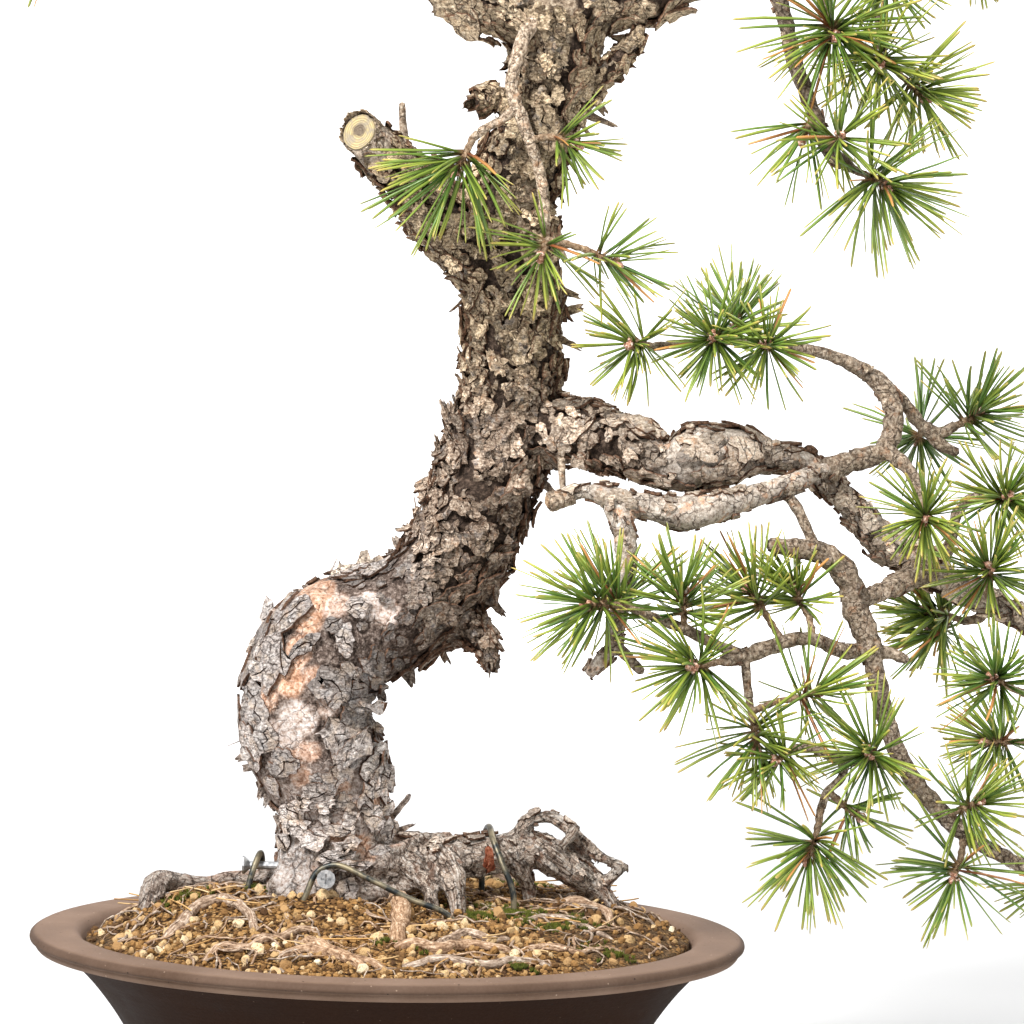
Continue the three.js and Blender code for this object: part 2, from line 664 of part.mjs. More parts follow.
/** The points of a wire with its hooks, one under each hole of the pot's floor. */
function wirePoints({ hooks, points }) {
  const hook = ([x, y]) => {
    const outward = x < 0 ? -1 : 1;
    return [
      [x + 10 * outward, y, 5.6], [x + 3 * outward, y, 5.6], [x + 0.6 * outward, y, 7.4],
      [x, y, 12], [x, y, 60],
    ];
  };
  const route = [...hook(hooks[0]), ...points];
  if (hooks.length > 1) route.push(...hook(hooks[1]).toReversed());
  return route.map((point) => [...point, WIRE_RADIUS]);
}

function wireSolid(wire, grow = 0) {
  return limbSolid({ points: wirePoints(wire), sides: 5 }, grow);
}

const SCREW_HEAD_RADIUS = 4.2;
const SCREW_SHANK_RADIUS = 1.8;
const SCREW_LENGTH = 28;

/** Places a geometry made along +Y so that its +Y end lies at `face` and looks along `out`. */
function placed(geometry, { face, out }) {
  const turn = new THREE.Quaternion().setFromUnitVectors(new THREE.Vector3(0, 1, 0), vector(out));
  return geometry.applyQuaternion(turn).translate(...face);
}

/** A countersunk screw with a cross recess. */
function screwSolid(place) {
  const profile = [[0, -SCREW_LENGTH], [SCREW_SHANK_RADIUS, -SCREW_LENGTH + 5], [SCREW_SHANK_RADIUS, -3.4]];
  profile.push([SCREW_HEAD_RADIUS, -0.8], [SCREW_HEAD_RADIUS, 0], [0, 0]);
  const body = new THREE.LatheGeometry(profile.map(([r, y]) => new THREE.Vector2(r, y)), 12);
  const bars = [[4.6, 2.6, 1], [1, 2.6, 4.6]].map((size) => new THREE.BoxGeometry(...size));
  let screw = solidOf(placed(body, place));
  for (const bar of bars) screw = screw.subtract(solidOf(placed(bar, place)));
  return screw;
}

/** The plain hole in the wood that a screw's shank stands in. */
function screwHole(place) {
  const length = SCREW_LENGTH + 2 * CLEARANCE;
  const radius = SCREW_SHANK_RADIUS + CLEARANCE;
  const hole = new THREE.CylinderGeometry(radius, radius, length, 12).translate(0, CLEARANCE - length / 2, 0);
  return solidOf(placed(hole, place));
}

/** Trunk, branches, stubs and roots, grown together as one piece of wood. */
function woodSolid() {
  const solids = Object.values(limbs).map((limb, order) => {
    const relief = limb.bark ? plateRelief(limb.bark, limb.sides, order + 1) : undefined;
    return limbSolid(limb, 0, relief);
  });
  let wood = joined(solids);
  for (const place of Object.values(screws)) wood = wood.subtract(screwHole(place));
  return wood;
}

/** The soil: a grainy mound that fills the pot, with plain holes for roots and wires. */
function soilSolid() {
  const random = seededRandom(77);
  const grain = 1;
  const rings = [24, 45, 66, 86, 104, 121, THROAT_RADIUS - CLEARANCE - 0.1];
  const positions = [0, 0, soilHeight(0, 0)];
  const corners = [];
  const addRing = (radius, heightAt) => {
    for (let j = 0; j < POT_SIDES; j += 1) {
      const angle = (2 * Math.PI * j) / POT_SIDES + Math.PI / 2;
      const x = radius * Math.cos(angle);
      const y = radius * Math.sin(angle);
      positions.push(x, y, heightAt(x, y));
    }
  };
  rings.forEach((radius, order) => {
    const rough = order < rings.length - 1 ? grain : 0;
    addRing(radius, (x, y) => soilHeight(x, y) + rough * (2 * random() - 1));
  });
  for (const [radius, height] of soilSide.toReversed()) addRing(radius, () => height);
  positions.push(0, 0, FLOOR_TOP + CLEARANCE);
  const ringCount = rings.length + soilSide.length;
  const bottom = 1 + ringCount * POT_SIDES;
  for (let j = 0; j < POT_SIDES; j += 1) {
    const next = (j + 1) % POT_SIDES;
    corners.push(0, 1 + j, 1 + next);
    for (let ring = 0; ring < ringCount - 1; ring += 1) {
      const upper = 1 + ring * POT_SIDES;
      const lower = upper + POT_SIDES;
      corners.push(upper + j, lower + j, lower + next, upper + j, lower + next, upper + next);
    }
    const last = bottom - POT_SIDES;
    corners.push(bottom, last + next, last + j);
  }
  let soil = solidOf(indexedGeometry(positions, corners));
  for (const root of looseRoots) {
    const points = root.map(([x, y, radius]) => [x, y, soilHeight(x, y) + 0.3 * radius, radius]);
    soil = soil.add(limbSolid({ points, sides: 4 }));
  }
  const buried = Object.values(limbs).filter((limb) => limb.ground);
  for (const limb of buried) soil = soil.subtract(limbSolid(limb, CLEARANCE));
  for (const wire of Object.values(wires)) soil = soil.subtract(wireSolid(wire, CLEARANCE));
  return soil.subtract(drainMeshSolid(CLEARANCE));
}

/** The stretches of a limb between stations as straight cones, for measuring distances. */
function conesOf(limb) {
  const stations = stationsOf(limb);
  const bark = limb.bark ?? 0;
  return stations.slice(1).map((station, i) => ({
    start: stations[i].centre,
    end: station.centre,
    startRadius: stations[i].radius + bark,
    endRadius: station.radius + bark,
  }));
}

/** How far a point lies outside a straight cone with flat ends. */
function distanceToCone(point, cone) {
  const axis = cone.end.clone().sub(cone.start);
  const length = axis.length();
  const offset = point.clone().sub(cone.start);
  const along = offset.dot(axis) / length;
  const within = THREE.MathUtils.clamp(along, 0, length);
  const aside = Math.sqrt(Math.max(0, offset.lengthSq() - along * along));
  const beyond = Math.abs(along - within);
  const outside = aside - lerp(cone.startRadius, cone.endRadius, within / length);
  return beyond === 0 ? outside : Math.hypot(beyond, Math.max(outside, 0));
}

function clearOf(point, cones, distance) {
  return cones.every((cone) => distanceToCone(point, cone) >= distance);
}

const wood = woodSolid();
const woodMesh = new THREE.Mesh(geometryOf(wood), new THREE.MeshStandardMaterial({ side: THREE.DoubleSide }));
const woodCones = Object.values(limbs).flatMap(conesOf);
const wireCones = Object.values(wires).flatMap((wire) => conesOf({ points: wirePoints(wire) }));

/** How far a round twig has to go, from a start in the wood, until its flat end is clear of the wood. */
function wayOutOfWood(centre, forward) {
  const across = new THREE.Vector3(0.31, 0.52, 0.79).cross(forward).normalize();
  const station = { centre: centre.clone().sub(forward), across, aside: forward.clone().cross(across) };
  const rays = Array.from({ length: 8 }, (_, j) => ringPoint(station, (Math.PI * j) / 4, TWIG_RADIUS));
  const hitsFrom = (start) => new THREE.Raycaster(start, forward).intersectObject(woodMesh);
  const ownHits = hitsFrom(station.centre);
  if (ownHits.length === 0) return 0;
  const reach = ownHits[0].distance + 2 * TWIG_RADIUS;
  const hits = [...ownHits, ...rays.flatMap(hitsFrom)].map((hit) => hit.distance);
  return Math.max(...hits.filter((distance) => distance <= reach)) - 1 + CLEARANCE;
}

/** A shoot's twig as a curve: the first of a spray starts just clear of the wood that bears it. */
function twigCurve(points, isFirst) {
  const curve = new THREE.CatmullRomCurve3(points.map(vector), false, "centripetal");
  const length = curve.getLength();
  const start = isFirst ? wayOutOfWood(curve.getPointAt(0), curve.getTangentAt(0)) / length : 0;
  return { length: length * (1 - start), at: (share) => curve.getPointAt(lerp(start, 1, share)) };
}

/** The bare twig of a shoot, as corners and faces, with small faces at its end for needles. */
function bareTwig({ length, at }) {
  const bands = Math.round(NEEDLE_ZONE / NEEDLE_BAND);
  const bare = Math.max(0.3, 1 - NEEDLE_ZONE / length);
  const shares = [0, bare / 2];
  for (let band = 0; band <= bands; band += 1) shares.push(lerp(bare, 1, band / bands));
  const stations = withFrames(shares.map((share) => ({
    centre: at(share),
    radius: lerp(TWIG_RADIUS, TWIG_TIP_RADIUS, Math.min(1, share / bare)),
  })));
  const points = [];
  const faces = [];
  stations.forEach((station, i) => {
    const turn = (Math.PI * i) / TWIG_SIDES;
    for (let j = 0; j < TWIG_SIDES; j += 1) {
      points.push(ringPoint(station, turn + (2 * Math.PI * j) / TWIG_SIDES, station.radius));
      const next = (j + 1) % TWIG_SIDES;
      if (i === 0) continue;
      const ring = i * TWIG_SIDES;
      const before = ring - TWIG_SIDES;
      const bearsNeedles = i > 2;
      faces.push({ corners: [before + j, before + next, ring + j], bearsNeedles });
      faces.push({ corners: [before + next, ring + next, ring + j], bearsNeedles });
    }
  });
  const last = stations.at(-1);
  const lastRing = (stations.length - 1) * TWIG_SIDES;
  points.push(last.centre.clone().addScaledVector(last.forward, TWIG_TIP_RADIUS));
  for (let j = 0; j < TWIG_SIDES; j += 1) {
    const next = (j + 1) % TWIG_SIDES;
    faces.push({ corners: [lastRing + j, lastRing + next, points.length - 1], bearsNeedles: true });
    if (j > 0 && j < TWIG_SIDES - 1) faces.push({ corners: [0, j + 1, j], bearsNeedles: false });
  }
  return { points, faces, last };
}

/** Whether a needle keeps clear of wood, wires, soil, the other sprays and its spray's other twig. */
function needleFits(root, tip, others, siblings) {
  const samples = 12;
  const clearOfWoodFrom = 3;
  const lowest = 118;
  for (let i = 1; i <= samples; i += 1) {
    const point = root.clone().lerp(tip, i / samples);
    if (point.z < lowest && Math.hypot(point.x, point.y) < RIM_RADIUS + 8) return false;
    if (i >= clearOfWoodFrom && !clearOf(point, woodCones, 1.6)) return false;
    if (!clearOf(point, wireCones, 1.6)) return false;
    if (!clearOf(point, others, 2.2)) return false;
    if (!clearOf(point, siblings, 0.8)) return false;
  }
  return true;
}

/** Whether the straight line from one point to another goes through a triangle. */
function pierces(from, to, [a, b, c]) {
  const way = to.clone().sub(from);
  const length = way.length();
  const hit = new THREE.Ray(from, way.normalize()).intersectTriangle(a, b, c, false, new THREE.Vector3());
  return hit !== null && hit.distanceTo(from) <= length;
}

/** Whether two needles cross, each given by the three corners of its root and its tip. */
function needlesCross(one, two) {
  const crosses = (first, second) => first.root.some((corner) => [0, 1, 2].some((side) => {
    const edge = [second.root[side], second.root[(side + 1) % 3]];
    if (edge.includes(corner)) return false;
    return pierces(corner, first.tip, [...edge, second.tip]);
  }));
  return crosses(one, two) || crosses(two, one);
}

/** Grows needles from the faces at a twig's end, spread evenly round it. */
function shootNeedles({ points, faces, last }, random, others, siblings) {
  const sites = faces.filter((face) => face.bearsNeedles).map((face) => {
    const root = face.corners.map((corner) => points[corner]);
    const middle = root[0].clone().add(root[1]).add(root[2]).divideScalar(3);
    const out = root[1].clone().sub(root[0]).cross(root[2].clone().sub(root[0])).normalize();
    return { face, root, middle, out };
  });
  const goldenAngle = Math.PI * (3 - Math.sqrt(5));
  const firstTurn = 2 * Math.PI * random();
  const tries = 8;
  const needles = [];
  for (let i = 0; i < NEEDLES_A_SHOOT; i += 1) {
    for (let attempt = 0; attempt < tries; attempt += 1) {
      const wander = 0.1 * attempt * (random() - 0.5);
      const slope = 0.98 - (1.25 * (i + 0.5)) / NEEDLES_A_SHOOT + wander;
      const turn = firstTurn + i * goldenAngle + 3 * wander;
      const centre = last.forward.clone().multiplyScalar(slope);
      const way = ringPoint({ ...last, centre }, turn, Math.sqrt(1 - slope * slope));
      const free = sites.filter((site) => !site.taken && site.out.dot(way) > 0.35);
      free.sort((one, two) => two.out.dot(way) - one.out.dot(way));
      const length = NEEDLE_LENGTH * lerp(0.88, 1.08, random());
      const found = free.slice(0, 3).find((site) => {
        const tip = site.middle.clone().addScaledVector(way, length);
        const crossing = needles.some((needle) => needlesCross(needle, { root: site.root, tip }));
        return !crossing && needleFits(site.middle, tip, others, siblings);
      });
      if (!found) continue;
      found.taken = true;
      found.face.tip = found.middle.clone().addScaledVector(way, length);
      needles.push({ root: found.root, middle: found.middle, tip: found.face.tip });
      break;
    }
  }
  return needles;
}

/** A shoot as one closed solid: each needle is a face of the twig drawn out to a point. */
function shootSolid({ points, faces }) {
  const positions = points.flatMap((point) => [...point]);
  const corners = [];
  for (const { corners: [a, b, c], tip } of faces) {
    if (!tip) {
      corners.push(a, b, c);
      continue;
    }
    const end = positions.length / 3;
    positions.push(...tip);
    corners.push(a, b, end, b, c, end, c, a, end);
  }
  return solidOf(indexedGeometry(positions, corners));
}

/** Every spray as a solid, each clear of the sprays before it. */
function spraySolids() {
  const names = Object.keys(sprays);
  const twigs = names.map((name) =>
    sprays[name].map((points, order) => bareTwig(twigCurve(points, order === 0))),
  );
  const shootCones = names.map((name) => sprays[name].map((points) => (
    conesOf({ points: points.map((point) => [...point, TWIG_RADIUS]) })
  )));
  const twigCones = shootCones.map((cones) => cones.flat());
  const needleCones = names.map(() => []);
  return names.map((name, order) => {
    const random = seededRandom(1000 + order);
    const others = [...twigCones, ...needleCones].filter((_, i) => i % names.length !== order).flat();
    twigs[order].forEach((twig, shoot) => {
      const siblings = shootCones[order].filter((_, i) => i !== shoot).flat();
      const needles = shootNeedles(twig, random, [...others, ...needleCones[order]], siblings);
      for (const { middle, tip } of needles) {
        needleCones[order].push({ start: middle, end: tip, startRadius: TWIG_TIP_RADIUS / 2, endRadius: 0 });
      }
    });
    return { name, solid: joined(twigs[order].map(shootSolid)) };
  });
}

const bonsai = new THREE.Group();

function addPiece(name, solid, colour) {
  const geometry = geometryOf(solid);
  geometry.computeVertexNormals();
  const mesh = new THREE.Mesh(geometry, new THREE.MeshStandardMaterial(colour));
  mesh.name = name;
  bonsai.add(mesh);
}

addPiece("pot", potSolid(), colours.clay);
addPiece("drain_mesh", drainMeshSolid(), colours.plastic);
addPiece("soil", soilSolid(), colours.soil);
addPiece("tree_wood", wood, colours.bark);
for (const [name, wire] of Object.entries(wires)) addPiece(name, wireSolid(wire), colours.wire);
for (const [name, place] of Object.entries(screws)) addPiece(name, screwSolid(place), colours.steel);
for (const { name, solid } of spraySolids()) addPiece(`spray_${name}`, solid, colours.needles);

// Stand the origin under the middle of the whole outline.
const outline = new THREE.Box3().setFromObject(bonsai);
const middle = outline.getCenter(new THREE.Vector3());
bonsai.position.set(-middle.x, -middle.y, 0);
bonsai.updateMatrixWorld(true);

export default bonsai;
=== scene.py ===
import math

import bmesh
import bpy
import numpy as np
from mathutils import Matrix, Vector
from mathutils.kdtree import KDTree


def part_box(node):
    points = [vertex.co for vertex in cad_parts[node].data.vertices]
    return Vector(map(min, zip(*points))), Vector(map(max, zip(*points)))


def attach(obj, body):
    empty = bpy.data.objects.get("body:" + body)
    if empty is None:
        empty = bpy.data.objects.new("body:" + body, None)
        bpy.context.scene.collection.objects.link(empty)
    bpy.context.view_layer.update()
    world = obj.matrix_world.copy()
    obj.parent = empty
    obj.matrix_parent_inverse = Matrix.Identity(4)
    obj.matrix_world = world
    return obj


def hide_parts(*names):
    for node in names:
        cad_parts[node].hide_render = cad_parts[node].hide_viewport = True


# The finish of a Scots pine bonsai. Lengths here are millimetres about the pot's upright axis,
# as in the part's source, and each piece is turned to metres in the row's frame when it is made.

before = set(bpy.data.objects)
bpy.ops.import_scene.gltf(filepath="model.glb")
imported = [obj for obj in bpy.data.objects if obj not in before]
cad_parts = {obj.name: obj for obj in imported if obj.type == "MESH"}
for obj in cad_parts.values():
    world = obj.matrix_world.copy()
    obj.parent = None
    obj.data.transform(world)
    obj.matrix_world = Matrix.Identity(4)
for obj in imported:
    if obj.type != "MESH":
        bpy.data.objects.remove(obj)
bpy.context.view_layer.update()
pot_low, pot_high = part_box("pot")
POT_AXIS = np.array([(pot_low.x + pot_high.x) / 2, (pot_low.y + pot_high.y) / 2, 0.0])
MM = 0.001

# Driving dimensions.
RIM_RADIUS = 161.5
THROAT_RADIUS = 137
RIM_HEIGHT = 90
FOOT_HEIGHT = 8
FOOT_ANGLES = (-90, 30, 150)
FLOOR_TOP = 18
SOIL_EDGE = 87.5
SOIL_CREST = 106
NEEDLE_LENGTH = 30
NEEDLE_HALF_WIDTH = 0.75
NEEDLES_A_SHOOT = 88
NEEDLE_ZONE = 11
GOLDEN_ANGLE = 2.39996
BARK_VOXEL = 1.75
WIRE_RADIUS = 1.4
GRAIN_STRETCH = 0.16
WIRE_HOLE_RADIUS = 3.2
DRAIN_CENTRE = (18, 6)
DRAIN_RADIUS = 11

# Camera: lens and sensor give the photograph's field of view.
CAMERA_PLACE = (56, -2200, 401.54)
CAMERA_YAW = math.radians(-0.0926)
CAMERA_PITCH = math.radians(-3.1348)
CAMERA_ROLL = math.radians(1.13)
CAMERA_LENS = 171.875
CAMERA_SENSOR = 36

# How a 1024 frame lies over the upright plane through the pot's axis: millimetres to a pixel,
# and the pixels where the axis and the pot's rim are.
PIXEL = 0.45
AXIS_PIXEL = 388
RIM_PIXEL = 931

# The wood's limbs: each point is x, y, z and radius.
LIMBS = {
    "trunk": [
        [-24, 0, 72, 25], [-24, 0, 90, 30], [-24, 0, 106, 31], [-24, 0, 122, 29], [-24, -1, 136, 27.5],
        [-25, -2, 149, 27], [-32, -4, 167, 31], [-37, -5, 185, 31.5], [-36, -4, 202, 31.5],
        [-29, -1, 217, 31.5], [-15, 3, 230, 31], [3, 7, 242, 30.5], [19, 9, 257, 29.5],
        [31, 10, 276, 27.5], [38, 10, 291, 26.5], [44, 9, 308, 25.5], [49, 8, 328, 23],
        [51, 6, 346, 22.5], [51, 4, 364, 22], [51, 2, 382, 21.5], [49, 0, 402, 22.5],
        [48, -2, 419, 21.5], [54, -4, 438, 19.5], [61, -6, 455, 19], [66, -7, 473, 19],
        [67, -8, 490, 20.5], [66, -8, 507, 23],
    ],
    "crown_left": [
        [66, -8, 505, 20.5], [48, -8, 509, 19], [30, -7, 515, 16], [13, -4, 527, 13.5],
        [-6, 0, 539, 10.5], [-28, 6, 549, 8.5], [-53, 12, 555, 7], [-77, 14, 557, 5.5],
        [-100, 12, 552, 4], [-120, 8, 545, 3], [-138, 6, 539, 2.5], [-153, 2, 535, 2],
    ],
    "crown_right": [
        [64, -8, 505, 19.5], [87, -7, 512, 16], [109, -5, 518, 15], [132, -2, 528, 11.5],
        [155, 2, 541, 9], [179, 8, 550, 7], [204, 12, 555, 5.5], [227, 14, 553, 4], [246, 12, 546, 2.5],
    ],
    "leader": [
        [68, -8, 511, 20.5], [65, -6, 532, 16], [71, -2, 552, 13], [82, 4, 571, 11],
        [85, 8, 590, 8.5], [77, 8, 606, 6.5], [65, 4, 619, 5], [58, 0, 632, 3.5],
    ],
    "sawn_stub": [
        [41, -2, 393, 16], [28, -6, 404, 15], [12, -12, 421, 13], [-4, -20, 437, 11.5],
        [-12, -23, 443, 10.5],
    ],
    "sawn_stub_spike": [[3, -18, 435, 3.5], [1, -18, 449, 2], [0, -18, 463, 1.5]],
    "upper_left_stub": [[51, -4, 463, 7], [42, -8, 467, 6], [33, -12, 465, 5]],
    "upper_right_stub": [
        [80, -8, 470, 6.5], [90, -10, 479, 5], [97, -12, 486, 5], [103, -14, 493, 4.5],
        [105, -15, 498, 3],
    ],
    "upper_right_spike": [[83, -6, 467, 3], [84, -8, 459, 1.5]],
    "bend_stub": [
        [25, 4, 240, 12], [35, 0, 229, 8], [41, -4, 221, 5.5], [44, -6, 213, 3.5], [44, -7, 206, 2],
    ],
    "first_branch": [
        [52, 8, 320, 15.5], [73, 2, 318, 16], [91, -8, 316, 15.5], [107, -18, 311, 14],
        [120, -22, 305, 11.5], [136, -22, 308, 15.5], [153, -18, 311, 12], [168, -13, 309, 7.5],
        [184, -9, 306, 6.5], [195, -5, 296, 6.5], [221, 4, 271, 8], [234, 6, 264, 9],
        [246, 8, 255, 7.5], [275, 16, 241, 6], [289, 20, 234, 5.5],
        [305, 24, 223, 4.5], [322, 24, 208, 3.5], [335, 22, 196, 2.5],
    ],
    "front_limb": [
        [74, -40, 289, 3.5], [85, -42, 293, 4], [97, -45, 291, 6], [111, -46, 287, 7],
        [129, -46, 285, 8.5], [143, -42, 287, 8], [156, -36, 291, 6], [171, -29, 296, 5.5],
        [184, -22, 301, 5], [193, -14, 304, 4],
    ],
    "front_drop": [
        [97, -45, 291, 6], [101, -50, 279, 6.5], [103, -54, 266, 5.5], [102, -56, 251, 5.5],
        [100, -56, 237, 5], [98, -54, 226, 4.5], [93, -53, 219, 4.5], [87, -52, 213, 4],
    ],
    "front_drop_spur": [[98, -54, 228, 3], [104, -56, 222, 2.5], [111, -58, 215, 2]],
    "hanging_twig": [
        [173, -28, 295, 2.5], [179, -30, 287, 2.5], [184, -32, 277, 2.5], [188, -32, 268, 2.5],
    ],
    "hanging_branch": [
        [167, -34, 271, 3], [178, -34, 269, 4.5], [189, -32, 268, 5], [197, -30, 263, 5.5],
        [204, -28, 253, 6], [207, -28, 241, 6], [212, -28, 229, 6], [215, -28, 218, 4.5],
        [223, -32, 187, 4], [230, -34, 172, 4], [251, -32, 148, 4], [264, -30, 139, 3.5],
        [289, -26, 126, 3], [304, -24, 119, 2.5], [317, -22, 113, 2],
    ],
    "hanging_stub": [[211, -28, 224, 4], [220, -26, 223, 3], [230, -25, 220, 2]],
    "hanging_link": [[240, 4, 260, 7], [231, -8, 255, 5.5], [221, -18, 251, 4.5], [208, -28, 246, 4]],
    "low_left": [
        [212, -28, 224, 4], [200, -34, 224, 3.5], [189, -40, 229, 3], [179, -46, 230, 3],
        [169, -52, 227, 3.5], [156, -58, 223, 3.5], [146, -64, 221, 2.5],
    ],
    "low_left_high": [
        [157, -58, 223, 2.5], [143, -64, 228, 2.5], [129, -68, 235, 2.5], [116, -71, 240, 2],
        [107, -73, 244, 2],
    ],
    "low_left_under": [[156, -58, 224, 2.5], [157, -61, 213, 2], [158, -63, 205, 2]],
    "bottom_left": [
        [230, -34, 172, 3.5], [220, -42, 175, 3], [209, -49, 177, 2.5], [201, -54, 177, 2.5],
        [194, -56, 180, 2.5], [186, -58, 183, 2], [179, -60, 183, 2],
    ],
    "bottom_low": [[201, -54, 177, 2.5], [200, -56, 170, 2], [194, -58, 164, 2], [191, -60, 157, 2]],
    "arch": [
        [194, -12, 303, 6], [204, -6, 307, 5], [217, -2, 311, 4.5], [223, 2, 320, 4.5],
        [223, 4, 331, 4.5], [219, 6, 340, 4.5], [212, 6, 346, 4], [201, 2, 352, 3],
        [184, -8, 357, 2.5], [164, -12, 360, 2.5], [142, -15, 360, 2], [113, -19, 357, 2],
    ],
    "arch_out": [
        [214, 6, 344, 3.5], [227, 12, 335, 3], [239, 18, 322, 3], [247, 20, 320, 2.5],
        [253, 21, 323, 2.5],
    ],
    "arch_stub": [[239, 18, 323, 3], [247, 20, 314, 3], [254, 20, 311, 2]],
    "arch_low": [[219, -2, 313, 4], [229, -10, 305, 3], [234, -18, 296, 2.5], [236, -24, 290, 2]],
    "right_up": [
        [246, 8, 257, 3.5], [252, 10, 274, 2.5], [255, 11, 286, 2.5], [264, 11, 292, 2.5],
        [270, 10, 291, 2],
    ],
    "right_down": [[305, 24, 223, 3.5], [301, 8, 213, 3], [294, -6, 206, 2.5], [284, -16, 205, 2]],
    "right_low": [[318, 24, 212, 3], [314, 22, 196, 2.5], [304, 18, 184, 2.5], [292, 12, 180, 2.5]],
    "under_back": [[270, 15, 244, 2.5], [266, 20, 236, 2.5], [259, 24, 234, 2]],
    "first_tip_up": [[320, 24, 210, 2.5], [334, 18, 215, 2.5], [344, 12, 219, 2]],
    "drop_twig": [
        [61, -22, 506, 4], [54, -30, 494, 3.5], [50, -32, 481, 3], [49, -33, 469, 3], [53, -34, 458, 3],
        [58, -34, 445, 2.5], [62, -33, 433, 2.5], [64, -34, 419, 2.5], [65, -36, 410, 2],
    ],
    "drop_left": [[52, -34, 462, 2.5], [44, -36, 456, 2], [37, -38, 452, 2], [32, -39, 448, 2]],
    "cascade": [
        [155, 2, 539, 5.5], [162, -8, 526, 4.5], [167, -16, 512, 3.5], [170, -18, 502, 3.5],
        [173, -20, 488, 3.5], [178, -22, 474, 3.5], [183, -24, 462, 3.5], [189, -26, 447, 3.5],
        [197, -27, 440, 3], [202, -28, 437, 2],
    ],
    "cascade_middle": [[177, 8, 549, 4], [182, -4, 533, 3], [185, -14, 517, 2.5], [188, -22, 506, 2]],
    "cascade_outer": [
        [197, 12, 552, 3.5], [205, 6, 536, 2.5], [209, 0, 518, 2], [213, -2, 501, 2],
        [215, -4, 487, 2],
    ],
    "root_right": [
        [-17, -4, 115, 20], [3, -4, 121, 14.5], [23, -2, 124, 10.5], [43, 4, 126, 9.5], [60, 12, 128, 8.5],
        [74, 14, 126, 6.5], [85, 14, 121, 5], [96, 12, 111, 4], [101, 10, 105, 3], [104, 10, 98, 2.5],
    ],
    "root_leg_front": [
        [64, 4, 129, 6.5], [76, 4, 121, 6], [87, 8, 114, 5], [97, 12, 106, 3.5], [103, 14, 98, 2.5],
    ],
    "root_leg_middle": [[55, 4, 127, 6], [59, 4, 119, 4.5], [63, 10, 109, 3.5], [64, 12, 99, 3]],
    "root_leg_left": [
        [21, -10, 126, 8], [27, -20, 120, 6.5], [31, -28, 111, 4.5], [32, -31, 104, 3.5],
        [33, -32, 96, 2.5],
    ],
    "root_stump": [[10, -10, 122, 8], [18, -20, 114, 4.5], [20, -26, 104, 3.5], [20, -28, 96, 3]],
    "root_loop": [
        [59, 10, 133, 5.5], [63, 12, 140, 4.5], [72, 12, 142, 4], [81, 12, 137, 4], [87, 12, 131, 4],
        [96, 12, 124, 3.5], [107, 12, 120, 2.5], [109, 12, 117, 1.5],
    ],
    "root_loop_under": [[106, 12, 120, 2.5], [101, 12, 115, 3], [95, 12, 110, 3], [91, 12, 103, 2.5]],
    "root_snag": [[77, 8, 128, 3], [82, 6, 134, 2.5], [85, 4, 139, 2.5]],
    "root_left": [[-31, -6, 117, 18], [-41, -12, 111, 11.5], [-48, -18, 104, 8], [-52, -22, 94, 5.5]],
    "root_back": [[-24, 12, 116, 18], [-21, 34, 106, 12], [-18, 52, 92, 6.5]],
    "root_far_left": [
        [-42, 4, 112, 11], [-58, 10, 110, 5.5], [-72, 12, 110, 4.5], [-84, 10, 108, 3.5], [-96, 6, 110, 4],
        [-104, 0, 110, 5.5], [-106, -6, 105, 6], [-107, -10, 97, 5], [-106, -12, 90, 4],
    ],
}
# Limbs thick enough to be melted into one body, and those of them that carry bark plates.
MELTED = [
    "trunk", "crown_left", "crown_right", "leader", "sawn_stub", "bend_stub", "first_branch",
    "front_limb", "front_drop", "upper_left_stub", "upper_right_stub", "root_right", "root_leg_front",
    "root_leg_middle", "root_leg_left", "root_stump", "root_left", "root_back", "root_far_left",
    "root_loop", "root_loop_under", "root_snag", "upper_right_spike",
]
PLATED = [
    "trunk", "first_branch", "front_limb", "crown_left", "crown_right", "leader", "sawn_stub",
    "bend_stub", "root_right", "root_leg_front", "root_leg_middle", "root_leg_left", "root_stump",
    "root_back", "root_loop", "upper_left_stub", "upper_right_stub",
]
# Thinner branches with small flakes on their skin.
ROUGH_TWIGS = [
    "hanging_branch", "hanging_link", "hanging_stub", "arch", "arch_out", "front_drop", "low_left",
    "cascade",
]
# How much of each limb its flakes cover: the trunk's share is 1.
COVER = {
    "first_branch": 0.85, "front_limb": 0.2, "crown_left": 0.7, "crown_right": 0.7, "leader": 0.7,
    "sawn_stub": 0.9, "bend_stub": 1.2, "root_right": 0.34, "root_leg_front": 0.2,
    "root_leg_middle": 0.2, "root_leg_left": 0.2, "root_stump": 0.2, "root_back": 0.3,
    "root_loop": 0.12, **dict.fromkeys(ROUGH_TWIGS, 0.3),
}

